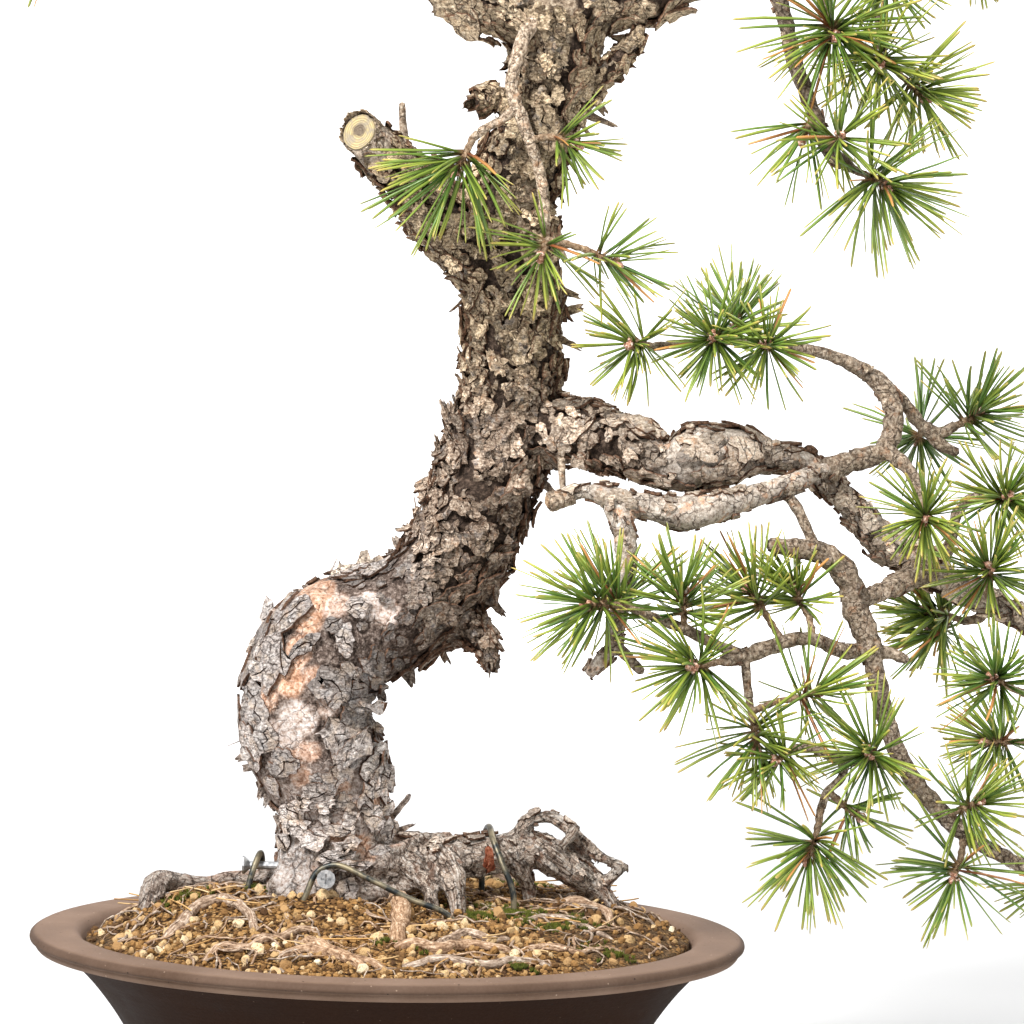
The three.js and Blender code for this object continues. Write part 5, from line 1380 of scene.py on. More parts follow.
def ball(level):
    """Points and faces of an icosphere of radius 1."""
    mesh = bmesh.new()
    bmesh.ops.create_icosphere(mesh, subdivisions=level, radius=1)
    points = np.array([v.co[:] for v in mesh.verts])
    faces = np.array([[v.index for v in f.verts] for f in mesh.faces])
    mesh.free()
    return points, faces


def random_turns(rng, count):
    """Turning matrices that face every way alike."""
    q = unit(rng.normal(size=(count, 4)))
    w, x, y, z = q.T
    return np.stack([
        np.stack([1 - 2 * (y * y + z * z), 2 * (x * y - z * w), 2 * (x * z + y * w)], -1),
        np.stack([2 * (x * y + z * w), 1 - 2 * (x * x + z * z), 2 * (y * z - x * w)], -1),
        np.stack([2 * (x * z - y * w), 2 * (y * z + x * w), 1 - 2 * (x * x + y * y)], -1),
    ], axis=1)


def scatter(shape, rng, spots, sizes, level, tones, cuts=0):
    """Rough grains at spots (x, y, z): balls pulled out of round, and cut by flat faces for stones."""
    base, faces = ball(level)
    count = len(spots)
    stretch = 1 + rng.uniform(-0.3, 0.3, (count, 1, 3))
    points = base[None] * (1 + rng.uniform(-0.16, 0.16, (count, len(base), 1)) * (cuts == 0))
    for _ in range(cuts):
        way = unit(rng.normal(size=(count, 1, 3)))
        reach = rng.uniform(0.5, 0.85, (count, 1, 1))
        over = np.maximum((points * way).sum(axis=2, keepdims=True) - reach, 0)
        points = points - over * way
    points = points * stretch * sizes[:, None, None]
    points = np.einsum("nij,nkj->nki", random_turns(rng, count), points) + spots[:, None]
    index = faces[None] + (np.arange(count) * len(base))[:, None, None]
    shape.add(points, index.reshape(-1, 3), tone=np.repeat(tones, len(base)))


def spots_on_soil(rng, count, reach):
    """Random places, spread evenly over the soil."""
    radius = reach * np.sqrt(rng.uniform(0, 1, count))
    angle = rng.uniform(0, 2 * math.pi, count)
    return radius * np.cos(angle), radius * np.sin(angle)


def strew(rng, name, material, sizes, margin, thinned, sunk, tone, darker, level, cuts=0):
    """Grains of these sizes all over the soil, fewer and darker where there is humus."""
    x, y = spots_on_soil(rng, len(sizes), THROAT_RADIUS - margin)
    humus = humus_at(np.stack([x, y, np.zeros(len(x))], 1))
    keep = rng.uniform(0, 1, len(x)) > thinned * humus
    x, y, sizes, humus = x[keep], y[keep], sizes[keep], humus[keep]
    z = ground(x, y) + sizes * rng.uniform(*sunk, len(sizes))
    tones = np.clip(rng.normal(*tone, len(sizes)) - darker * humus, 0, 1)
    shape = Shape()
    scatter(shape, rng, np.stack([x, y, z], 1), sizes, level, tones, cuts)
    piece(name, shape, [material], smooth=False)


def add_grains():
    """Small baked-clay grains, and fewer, larger stones of pumice."""
    rng = np.random.default_rng(11)
    sizes = 0.65 + 1.8 * rng.beta(1.15, 3.2, 5400)
    strew(rng, "clay_grains", GRAIN, sizes, 1.5, 0.55, (-0.1, 0.7), (0.46, 0.3), 0.2, 1)
    sizes = 1.5 + 2.4 * rng.beta(1.2, 2.8, 440)
    strew(rng, "pumice_grains", PUMICE, sizes, 5, 0.5, (0.0, 0.5), (0.42, 0.28), 0.0, 2, cuts=8)


def add_surface_roots():
    """Roots that show on the soil, and fine feeding roots among the grains."""
    rng = np.random.default_rng(12)
    shape = Shape()
    for order, (line, radius) in enumerate(SURFACE_ROOTS):
        path = smooth_path([[x, y, 0] for x, y in line], 2)
        path[:, :2] += np.stack([noise(path, 9, order), noise(path, 9, order + 50)], 1) * 1.3
        ends = np.minimum(np.arange(len(path)), np.arange(len(path))[::-1])
        path[:, 2] = ground(path[:, 0], path[:, 1]) + radius * 0.9 - 3.2 * np.exp(-ends / 2.2)
        size = 1.3 * radius * (1 + 0.22 * noise(path, 6, order + 9)) * np.linspace(1.1, 0.75, len(path))
        rings = size[:, None] * (1 + 0.05 * rng.uniform(-1, 1, (len(path), 9)))
        tube(shape, path, rings, 9, tone=float(rng.uniform(0, 0.9)))
    feeding_roots, stride = 330, 3.2
    for _ in range(feeding_roots):
        x, y = spots_on_soil(rng, 1, THROAT_RADIUS - 8)
        heading = rng.uniform(0, 2 * math.pi)
        line = [[x[0], y[0], 0]]
        for _step in range(rng.integers(5, 13)):
            heading += rng.normal(0, 0.45)
            px, py, _ = line[-1]
            line.append([px + stride * math.cos(heading), py + stride * math.sin(heading), 0])
        path = np.array(line)
        path = path[np.hypot(path[:, 0], path[:, 1]) < THROAT_RADIUS - 3]
        if len(path) < 4:
            continue
        radius = rng.uniform(0.25, 0.7)
        lift = np.abs(noise(path, 8, 77)) * 2.2
        path[:, 2] = ground(path[:, 0], path[:, 1]) + 0.9 + lift
        path[[0, -1], 2] -= 2.5
        tube(shape, path, np.full(len(path), radius), 4, tone=float(rng.uniform(0, 1)))
    piece("surface_roots", shape, [ROOT])


def add_litter():
    """Fallen needles that lie on the soil."""
    rng = np.random.default_rng(13)
    shape = Shape()
    for _ in range(70):
        x, y = spots_on_soil(rng, 1, THROAT_RADIUS - 14)
        heading = rng.uniform(0, 2 * math.pi)
        reach = rng.uniform(6, 15)
        t = np.linspace(-1, 1, 5)
        bend = rng.uniform(-2, 2)
        px = x[0] + reach * t * math.cos(heading) - bend * t * t * math.sin(heading)
        py = y[0] + reach * t * math.sin(heading) + bend * t * t * math.cos(heading)
        if np.hypot(px, py).max() > THROAT_RADIUS - 3:
            continue
        pz = ground(px, py).max() + 1.2 + rng.uniform(-0.8, 0.8) * t
        path = np.stack([px, py, pz], 1)
        tube(shape, path, np.full(5, 0.36), 4, tone=float(rng.beta(2, 2)))
    piece("fallen_needles", shape, [LITTER])


def add_moss():
    """Moss: tufts of short leaves standing on the soil."""
    rng = np.random.default_rng(14)
    shape, leaves = Shape(), 7
    for x0, y0, spread, count in MOSS_PATCHES:
        x = x0 + rng.normal(0, spread * 0.75, count)
        y = y0 + rng.normal(0, spread * 0.65, count)
        bald = noise(np.stack([x, y, np.zeros(count)], 1), 5, 15) > 0.15
        x, y = x[~bald], y[~bald]
        z = ground(x, y) + 0.4
        for root in np.stack([x, y, z], 1):
            turn = rng.uniform(0, 2 * math.pi) + ring_angles(leaves)
            lean = rng.uniform(0.25, 0.75, leaves)
            out = np.stack([np.cos(turn) * lean, np.sin(turn) * lean, np.ones(leaves)], 1)
            tall = rng.uniform(1.4, 2.6, (leaves, 1))
            tip = root + unit(out) * tall
            side = np.stack([-np.sin(turn), np.cos(turn), np.zeros(leaves)], 1) * 0.4
            base = root + unit(out * [1, 1, 0]) * 0.35
            back = np.repeat(root[None], leaves, 0) + [0, 0, 0.5]
            points = np.stack([base - side, base + side, back, tip], 1)
            index = np.array([[0, 1, 3], [1, 2, 3], [2, 0, 3]])
            faces = index[None] + (np.arange(leaves) * 4)[:, None, None]
            tone = np.clip(rng.normal(0.4, 0.2), 0, 1)
            tones = np.tile([tone * 0.5, tone * 0.5, tone * 0.4, min(1, tone + 0.35)], leaves)
            shape.add(points, faces.reshape(-1, 3), tone=tones)
    piece("moss", shape, [MOSS], smooth=False)


# Wood.


def limb_path(name, pitch):
    """A limb's smooth line with its radius, at even steps."""
    return smooth_path(LIMBS[name], pitch)


AXES = {name: limb_path(name, 3) for name in LIMBS}


def inside_wood(points, margin, skip=None):
    """Whether each point is inside a limb, deeper than the margin."""
    axis = np.concatenate([path for name, path in AXES.items() if name != skip])
    found = np.zeros(len(points), bool)
    for start in range(0, len(points), 4000):
        part = points[start:start + 4000]
        gap = np.linalg.norm(part[:, None] - axis[None, :, :3], axis=2)
        found[start:start + 4000] = (gap < axis[None, :, 3] - margin).any(axis=1)
    return found


def zone_values(points):
    """How silver and how much like the upper trunk the bark is at each point."""
    x, z = points[:, 0], points[:, 2]
    wander = 9 * noise(points, 24, 8)
    silver = smoothstep(280, 246, z + wander) * smoothstep(30, -4, x + wander)
    silver = np.maximum(silver, 0.55 * smoothstep(172, 150, z))
    upper = smoothstep(318, 362, z + wander)
    return silver, upper


def frame_point(px, py, depth=0.0):
    """Where a pixel of a 1024 frame lies in the upright plane through the pot's axis."""
    return np.array([(px - AXIS_PIXEL) * PIXEL, depth, (RIM_PIXEL - py) * PIXEL + RIM_HEIGHT])


def on_bare_patch(point, reach):
    """Whether a point on the front is in a bare patch, or nearer to it than `reach`."""
    x, y, z = point
    return y <= 8 and any(
        (x - patch_x) ** 2 + (z - patch_z) ** 2 < (radius + reach) ** 2
        for patch_x, patch_z, radius, _ in BARE_PATCHES
    )


def swelling(points):
    """How far the wood swells out in lumps, less so low on the trunk, or in at its hollows."""
    lumps = 1.7 * noise(points, 14, 51) + 0.9 * noise(points, 7, 52)
    lumps = lumps * (0.35 + 0.65 * smoothstep(215, 260, points[:, 2]))
    for x, z, reach, depth in HOLLOWS:
        lumps -= depth * np.exp(-((points[:, 0] - x) ** 2 + (points[:, 2] - z) ** 2) / (2 * reach**2))
    return lumps


class Limb:
    """A limb's line with a way to place a point on its skin."""

    def __init__(self, name):
        path = limb_path(name, 1)
        self.name = name
        self.centres, self.radii = path[:, :3], path[:, 3]
        self.forward, self.across, self.aside = frames_along(self.centres)
        self.length = len(path) - 1

    def at(self, angle, along, height):
        """Points on the skin: angle in radians, along in steps, height above the inner bark."""
        place = np.clip(along, 0, self.length - 1e-6)
        first = place.astype(int)
        part = (place - first)[:, None]

        def pick(table):
            """The limb's own values at each place."""
            return table[first] * (1 - part) + table[first + 1] * part

        out = pick(self.across) * np.cos(angle)[:, None] + pick(self.aside) * np.sin(angle)[:, None]
        radius = pick(self.radii[:, None]) - bark_depth(self.name)
        beyond = (along - place)[:, None]
        out = unit(out)
        skin = pick(self.centres) + out * radius
        swell = (swelling(skin) * np.clip(radius[:, 0] / 14, 0, 1))[:, None]
        return skin + out * (swell + height[:, None]) + pick(self.forward) * beyond

    def normal(self, angle, along):
        """The way straight out of the limb there."""
        return unit(self.across[along] * math.cos(angle) + self.aside[along] * math.sin(angle))

    def facing(self, x, z):
        """The angle and the place along of the front skin's point seen at x, z."""
        angles = np.linspace(0, 2 * math.pi, 96, endpoint=False)
        alongs = np.arange(self.length)
        out = (
            self.across[alongs][:, None] * np.cos(angles)[None, :, None]
            + self.aside[alongs][:, None] * np.sin(angles)[None, :, None]
        )
        skin = self.centres[alongs][:, None] + out * self.radii[alongs][:, None, None]
        miss = (skin[..., 0] - x) ** 2 + (skin[..., 2] - z) ** 2 + np.where(out[..., 1] > -0.05, 1e6, 0)
        along, turn = np.unravel_index(miss.argmin(), miss.shape)
        return angles[turn], float(along)


def bark_depth(name):
    """How far the inner bark lies under a limb's drawn radius."""
    return {"trunk": 2.4, "first_branch": 1.8, "front_limb": 1.0}.get(name, 1.5)


def flake_size(name, point, silver):
    """The usual half width of a bark flake there."""
    if name == "trunk":
        if point[2] < 150:
            return 5.0
        if silver > 0.5:
            return 6.4
        return 3.9 if point[2] < 345 else 3.3
    if name == "first_branch":
        return 5.0 if 108 < point[0] < 170 else 3.8
    if name.startswith("root") or name == "bend_stub":
        return 2.4
    if name in ROUGH_TWIGS:
        return 1.9
    usual = {"front_limb": 3.6, "leader": 3.2, "crown_left": 3.8, "crown_right": 3.8}
    return usual.get(name, 3.0)


def torn_outline(rng, half_wide, half_long, turn, pitch, rough, least=0.7):
    """A closed outline torn all round, as places across and along."""
    corners = rng.integers(5, 8)
    angle = (np.arange(corners) + rng.uniform(-0.34, 0.34, corners)) * 2 * math.pi / corners
    reach = rng.uniform(least, 1.14, corners)
    points = np.stack([np.cos(angle) * reach * half_wide, np.sin(angle) * reach * half_long], 1)
    for _ in range(2):
        ahead = np.roll(points, -1, axis=0) - points
        long = np.linalg.norm(ahead, axis=1) > pitch * 1.45
        aside = np.stack([ahead[:, 1], -ahead[:, 0]], 1) * rng.normal(0, rough, (len(points), 1))
        both = np.stack([points, points + ahead / 2 + aside], 1).reshape(-1, 2)
        points = both[np.stack([np.ones(len(long), bool), long], 1).reshape(-1)]
    c, s = math.cos(turn), math.sin(turn)
    return points @ np.array([[c, s], [-s, c]])


def cracked(outline, rng):
    """An outline split in two by a jagged crack."""
    n = len(outline)
    first = int(rng.integers(0, n // 2))
    last = first + n // 2 + int(rng.integers(-1, 2))
    if last >= n or min(last - first, n - last + first) < 4:
        return [outline]
    chord = outline[last] - outline[first]
    aside = unit(np.array([chord[1], -chord[0]]))
    t = np.linspace(0, 1, 6)[1:-1, None]
    jags = rng.normal(0, 0.08 * np.linalg.norm(chord), (4, 1))
    line = outline[first] + chord * t + aside * jags
    inward = outline[first:last + 1].mean(axis=0) - outline[first] - chord / 2
    gap = aside * (0.35 if inward @ aside > 0 else -0.35)
    return [
        np.concatenate([outline[first:last + 1], (line + gap)[::-1]]),
        np.concatenate([outline[last:], outline[:first + 1], line - gap]),
    ]


def add_plate(limb, shape, rng, here, outline, height, thick, tilt, curl, **look):
    """A thin flake over the skin, torn all round, with a rough top."""
    n = len(outline)
    broad = n > 18
    middle = outline.mean(axis=0)
    parts = [outline, outline, outline]
    if broad:
        parts.append(middle + (outline - middle) * rng.uniform(0.5, 0.72))
    flat = np.concatenate(parts + [middle[None]])
    rise = height + flat @ np.asarray(tilt) + curl * (flat**2).sum(axis=1)
    ripple = rng.normal(0, 0.15, n)
    rise[:n] -= 0.5
    rise[n:2 * n] += thick + ripple
    rise[2 * n:3 * n] += thick + ripple
    if broad:
        rise[3 * n:4 * n] += thick + rng.normal(0, 0.2, n)
    rise[-1] += thick
    angle, along = here
    radius = max(limb.radii[min(int(along), limb.length)], 4)
    points = limb.at(angle + flat[:, 0] / radius, along + flat[:, 1], rise)
    faces = [band(0, n, n)]
    if broad:
        faces.append(band(2 * n, 3 * n, n))
    last = 3 * n if broad else 2 * n
    j, k = ring_steps(n)
    faces.append(fan(len(flat) - 1, last + j, last + k))
    side = np.zeros(len(flat))
    side[:n], side[n:2 * n], side[2 * n:3 * n] = 1.0, 0.85, 0.2
    # high sets the plate's painted shade or painted light by its height among the layers.
    shape.add(points, np.concatenate(faces), side=side, high=min(max(height / 2.4, 0), 1), **look)


def add_slab(shape, rng, middle, face, outline, **look):
    """A lifted plate, its outline across and upward, a little dished towards its face."""
    n = len(outline)
    right = unit(np.cross([0, 0, 1], face))
    if right[0] < 0:
        right = -right
    up = unit(np.cross(face, right))
    if up[2] < 0:
        up = -up
    centre = outline.mean(axis=0)
    inner = centre + (outline - centre) * 0.6
    flat = np.concatenate([outline, outline, inner, centre[None], outline, centre[None]])
    rise = -0.012 * (flat**2).sum(axis=1) + rng.normal(0, 0.16, len(flat))
    rise[n:2 * n] = rise[:n]
    rise[3 * n + 1:] = -1.3
    points = middle + right * flat[:, :1] + up * flat[:, 1:2] + face * rise[:, None]
    j, k = ring_steps(n)
    low = 3 * n + 1
    faces = np.concatenate([
        band(n, 2 * n, n), fan(3 * n, 2 * n + j, 2 * n + k), band(low, 0, n),
        fan(low + n, low + k, low + j),
    ])
    side = np.zeros(len(flat))
    side[:n], side[n:2 * n], side[low:] = 0.75, 0.12, 1.0
    # The fixed high value gives a slab the painted light of a plate that lies on top.
    shape.add(points, faces, side=side, high=0.8, **look)


def add_broad_plates(trunk, shape, rng):
    """The trunk's large plates at their known places; returns where they lie."""
    laid = []
    reference = trunk.radii.mean()
    for px, py, half_wide, half_long, turn, tone, height in BROAD_PLATES:
        x, _, z = frame_point(px, py)
        angle, along = trunk.facing(x, z)
        point = trunk.at(np.array([angle]), np.array([along]), np.zeros(1))[0]
        silver, upper = zone_values(point[None])
        # Painted light: silver plates low on the trunk, where the bend shades them, are made lighter.
        tone += (0.42 * float(smoothstep(186, 158, z)) - 0.12) * silver[0]
        normal = trunk.normal(angle, int(along))
        rightward = np.cross(trunk.forward[int(along)], normal)
        lean = math.atan2(trunk.forward[int(along)][0], trunk.forward[int(along)][2])
        flip = 1 if rightward[0] < 0 else -1
        tilt = rng.uniform(-0.05, 0.05, 2)
        look = {"silver": silver[0], "upper": upper[0], "tone": tone, "pale": 0.0}
        if abs(normal[0]) > 0.6:
            outline = torn_outline(rng, half_wide, half_long, turn, 1.4, 0.12, 0.88)
            face = unit(normal * 0.45 + [0, -0.55, 0])
            middle = point + normal * (height + 0.16 * half_wide)
            for part in cracked(outline, rng) if half_long > 4 else [outline]:
                add_slab(shape, rng, middle, face, part, **look)
            continue
        outline = torn_outline(rng, half_wide, half_long, flip * (turn + lean), 1.4, 0.15, 0.84)
        for part in cracked(outline, rng):
            thick = rng.uniform(0.9, 1.3)
            add_plate(trunk, shape, rng, (angle, along), part, height, thick, tilt, 0.006, **look)
        laid.append([angle * reference, along, min(half_wide, half_long), height + 0.6])
    return laid


def furrowed(angle, along, radius):
    """Whether a place lies in one of the dark furrows that run along the limb."""
    place = np.array([[math.cos(angle) * radius, math.sin(angle) * radius, along * 0.3]])
    return layered_noise(place, 6.5, 45, 2)[0] < -0.30


def flake_outline(rng, name, point, silver, size, half_wide):
    """A torn outline, longer along the limb, but across it on the right of the trunk's lower bend."""
    sideways = name == "trunk" and point[0] > -26 and 140 < point[2] < 215
    aspect = rng.uniform(0.8, 1.5) if silver > 0.5 and not sideways else rng.uniform(1.1, 2.3)
    turn = rng.normal(math.pi / 2 if sideways else 0, 0.3 if sideways else 0.6)
    if name.startswith("root"):
        aspect, turn = min(rng.uniform(1.6, 3.2), 5.5 / half_wide), rng.normal(0, 0.2)
    return torn_outline(rng, half_wide, half_wide * aspect, turn, 1.5 if size > 4 else 1.35, 0.2)


def flake_tone(rng, name, point, silver):
    """How light a flake is: lighter low on the trunk as painted light where the bend shades it, painted
    shade under its lean, and darker on the small stub.
    """
    tone = rng.beta(1.3, 1.3)
    if silver > 0.5:
        # Painted light low on the trunk, where the bend above shades it.
        tone += 0.62 * float(smoothstep(180, 150, point[2])) - 0.12
    if name == "trunk" and point[0] > -4 and 205 < point[2] < 262:
        # Painted shade under the trunk's lean.
        tone *= 0.55
    if name == "bend_stub":
        tone *= 0.4
    return tone


def cover_limb(limb, shape, rng, coverage):
    """Bark flakes all over a limb: large ones first, each laid over those before it."""
    smallest, most = 2.6, 20000
    reference = limb.radii.mean()
    half_round = math.pi * reference
    area = 2 * half_round * limb.length
    laid = np.zeros((most, 4))
    count = 0
    if limb.name == "trunk":
        known = add_broad_plates(limb, shape, rng)
        laid[:len(known)] = known
        count = len(known)
    for share, scale, skipped in ((0.75, 1.0, 0.0), (0.34, 0.66, 0.35), (0.16, 0.45, 0.72)):
        tries = int(area * share * coverage / (2.4 * (smallest * scale) ** 2))
        angles = rng.uniform(0, 2 * math.pi, tries)
        alongs = rng.uniform(0, limb.length, tries)
        radii = limb.radii[alongs.astype(int)]
        points = limb.at(angles, alongs, np.zeros(tries))
        silver, upper = zone_values(points)
        buried = inside_wood(points, 1.0, skip=limb.name)
        chance = rng.uniform(0, 1, tries)
        for i in range(tries):
            size = flake_size(limb.name, points[i], silver[i])
            if buried[i] or radii[i] < 3.0 or chance[i] > (smallest / size) ** 2 * radii[i] / reference:
                continue
            if silver[i] > 0.5 and rng.uniform() < skipped:
                continue
            half_wide = size * scale * math.exp(rng.normal(0, 0.3))
            half_wide = min(half_wide, radii[i] * 0.75, 9.0 if silver[i] > 0.5 else 6.2)
            if limb.name == "trunk" and on_bare_patch(points[i], half_wide * 0.55):
                continue
            light = branch_paleness(limb.name, points[i])
            wild = (1 - silver[i]) * (1 - 0.75 * min(1, light * 1.4))
            if silver[i] < 0.5 and light < 0.6 and furrowed(angles[i], alongs[i], radii[i]):
                continue
            place = np.array([angles[i] * reference, alongs[i]])
            gap = laid[:count, :2] - place
            gap[:, 0] = (gap[:, 0] + half_round) % (2 * half_round) - half_round
            close = np.hypot(gap[:, 0], gap[:, 1]) < 0.7 * (laid[:count, 2] + half_wide)
            height = rng.uniform(-0.1, 0.5)
            if close.any():
                height = laid[:count, 3][close].max() + rng.uniform(0.12, 0.5)
            if height > 2.2 + 1.3 * wild:
                continue
            outline = flake_outline(rng, limb.name, points[i], silver[i], size, half_wide)
            steep = rng.uniform(0.02, 0.1) + wild * rng.choice([0.04, 0.18, 0.42], p=[0.45, 0.35, 0.2])
            lean = rng.uniform(0, 2 * math.pi)
            tilt = (steep * math.cos(lean), steep * math.sin(lean))
            curl = rng.uniform(-0.006, 0.012) + wild * rng.uniform(-0.01, 0.06)
            thick = rng.uniform(0.55, 1.0) if silver[i] < 0.5 else rng.uniform(0.7, 1.2)
            pale = light * rng.uniform(0.6, 1.0)
            tone = flake_tone(rng, limb.name, points[i], silver[i])
            look = {"silver": silver[i], "upper": upper[i], "tone": tone, "pale": pale}
            here = (angles[i], alongs[i])
            parts = cracked(outline, rng) if half_wide > 4.6 and rng.uniform() < 0.55 else [outline]
            for part in parts:
                add_plate(limb, shape, rng, here, part, height, thick, tilt, curl, **look)
            laid[count] = *place, half_wide, height + thick * 0.55
            count += 1


def branch_paleness(name, point):
    """How cream-grey the bark is on the branches."""
    if name == "front_limb":
        return 1.0
    if name == "first_branch":
        return 0.35 + 0.65 * float(smoothstep(90, 125, point[0]))
    if name.startswith("root"):
        return 0.4
    if name in ROUGH_TWIGS:
        return 0.45
    return 0.12 if name.startswith("crown") else 0.0


def add_flake(shape, rng, foot, tip, width, face, curl, **look):
    """A torn flake from its foot to its ragged end, with its broad side towards `face`."""
    foot, tip = np.asarray(foot, float), np.asarray(tip, float)
    length = np.linalg.norm(tip - foot)
    way = unit(tip - foot)
    face = unit(face - way * (face @ way))
    side = np.cross(way, face)
    half = width / 2
    steps = max(3, int(round(length / 1.8)))
    t = np.linspace(0, 1, steps)
    taper = 1 - rng.uniform(0.2, 0.7) * t**1.6
    left = np.stack([-half * taper * rng.uniform(0.8, 1.2, steps), t * length], 1)
    right = np.stack([half * taper * rng.uniform(0.8, 1.2, steps), t * length], 1)[::-1]
    top = 2 if width < 3 else 3
    across = np.linspace(right[0, 0], left[-1, 0], top + 2)[1:-1]
    end = np.stack([across, length * rng.uniform(0.86, 1.14, top)], 1)
    outline = np.concatenate([left, end[::-1], right])
    n = len(outline)
    middle = np.array([0, length * 0.5])
    thick = 0.45 if width > 2 else 0.22
    flat = np.concatenate([outline, outline, [middle, middle]])
    rise = curl * flat[:, 1] ** 2 / length + rng.normal(0, 0.06 * width, len(flat))
    rise[:n] = rise[n:2 * n] - thick
    rise[-2] = rise[-1] - thick
    points = foot + side * flat[:, :1] + way * flat[:, 1:2] + face * rise[:, None]
    j, k = ring_steps(n)
    faces = np.concatenate([band(0, n, n)[:, ::-1], fan(2 * n, j, k), fan(2 * n + 1, n + k, n + j)])
    # The fixed high value gives a loose flake the painted light of a plate that lies on top.
    shape.add(points, faces, side=rng.uniform(0, 0.35), high=0.8, **look)


def add_loose_flakes(trunk, shape, rng):
    """Flakes that stand off the trunk: ragged ones on its leaning middle, hanging ones beneath it."""
    tries = 2400
    alongs = rng.uniform(30, trunk.length - 4, tries)
    angles = rng.uniform(0, 2 * math.pi, tries)
    feet = trunk.at(angles, alongs, np.full(tries, 1.6))
    buried = inside_wood(feet, 1.0, skip="trunk")
    silver, upper = zone_values(feet)
    for i in range(tries):
        along = int(alongs[i])
        normal = trunk.normal(angles[i], along)
        ragged = 250 < feet[i][2] < 350
        under = normal[2] < -0.25
        chance = 0.03 if silver[i] > 0.5 else (0.3 if ragged else 0.12)
        if under and silver[i] <= 0.5:
            chance += 0.1
        if buried[i] or rng.uniform() > chance or on_bare_patch(feet[i], 2):
            continue
        left = normal[0] < -0.3 and ragged
        up = trunk.forward[along] * (-1 if under else 1)
        turn = rng.normal(0, 0.4 if left else 1.0)
        up = unit(up * math.cos(turn) + np.cross(normal, up) * math.sin(turn))
        length = rng.uniform(4, 11) if left else rng.uniform(1.5, 4.0)
        lift = rng.uniform(0.05, 0.5) if left else rng.uniform(0.0, 0.5)
        way = up * math.cos(lift) + normal * math.sin(lift)
        # Flakes that face down get a low tone: painted shade beneath the trunk.
        add_flake(
            shape, rng, feet[i] - way * 1.0, feet[i] + way * length, rng.uniform(2.2, 5.2), normal,
            rng.uniform(-0.15, 0.3), silver=silver[i], upper=upper[i], pale=0.0,
            tone=rng.uniform(0, 0.35) if under else rng.uniform(0.05, 0.9),
        )
    add_standing_flakes(trunk, shape, rng)


def add_standing_flakes(trunk, shape, rng):
    """Flakes at their known places, each with its foot moved in until it is in the wood."""
    for px, py, tip_px, tip_py, width, tone, depth in STANDING_FLAKES:
        foot = frame_point(px, py, depth)
        tip = frame_point(tip_px, tip_py, depth)
        along = int(np.linalg.norm(trunk.centres - foot, axis=1).argmin())
        foot[1] += trunk.centres[along][1]
        tip[1] += trunk.centres[along][1] + rng.uniform(-3, 1)
        away = foot - trunk.centres[along]
        inside = trunk.radii[along] - bark_depth("trunk") - 0.5
        foot = trunk.centres[along] + away * min(1, inside / np.linalg.norm(away))
        silver, upper = zone_values(foot[None])
        face = np.array([rng.uniform(-0.35, 0.35), -1, rng.uniform(-0.3, 0.3)])
        add_flake(
            shape, rng, foot, tip, width, face, rng.uniform(-0.08, 0.12),
            silver=silver[0] * 0.5, upper=max(upper[0], float(tone > 0.9)), pale=0.0, tone=tone,
        )


def add_root_strands(shape, rng):
    """Ridges that run along the roots, as if thinner roots had grown into them."""
    for name in ROOTS:
        root = Limb(name)
        for start in np.linspace(0, 2 * math.pi, 9, endpoint=False):
            alongs = np.arange(0, root.length, 3.0)
            if len(alongs) < 4:
                continue
            wander = np.cumsum(rng.normal(0, 0.13, len(alongs)))
            size = root.radii[alongs.astype(int)] * rng.uniform(0.2, 0.34)
            angle = start + rng.uniform(-0.3, 0.3) + wander
            line = root.at(angle, alongs, size * 0.15 + bark_depth(name) - 0.8)
            tube(shape, line, np.maximum(size * rng.uniform(0.85, 1.1, len(alongs)), 1.1), 8, rounded=0.2)


def melted_wood():
    """All thick limbs as one skin: points and triangles in millimetres."""
    shape = Shape()
    add_root_strands(shape, np.random.default_rng(24))
    for name in MELTED:
        path = limb_path(name, 3)
        sides = 28 if path[:, 3].max() > 14 else 18
        depth = min(bark_depth(name), 0.14 * path[:, 3].max())
        tube(shape, path[:, :3], path[:, 3] - depth, sides, rounded=0.15)
    data = bpy.data.meshes.new("melting")
    points, faces = np.concatenate(shape.points), np.concatenate(shape.faces)
    data.from_pydata(points.tolist(), [], faces.tolist())
    holder = bpy.data.objects.new("melting", data)
    bpy.context.scene.collection.objects.link(holder)
    remesh = holder.modifiers.new("remesh", "REMESH")
    remesh.mode = "VOXEL"
    remesh.voxel_size = BARK_VOXEL
    bpy.context.view_layer.update()
    result = holder.evaluated_get(bpy.context.evaluated_depsgraph_get()).to_mesh()
    result.calc_loop_triangles()
    count = len(result.vertices)
    found = np.zeros(count * 3, np.float32)
    normals = np.zeros(count * 3, np.float32)
    result.vertices.foreach_get("co", found)
    result.vertex_normals.foreach_get("vector", normals)
    corners = np.zeros(len(result.loop_triangles) * 3, np.int32)
    result.loop_triangles.foreach_get("vertices", corners)
    bpy.data.objects.remove(holder)
    found, normals = (table.reshape(-1, 3).astype(float) for table in (found, normals))
    return found, normals, corners.reshape(-1, 3)


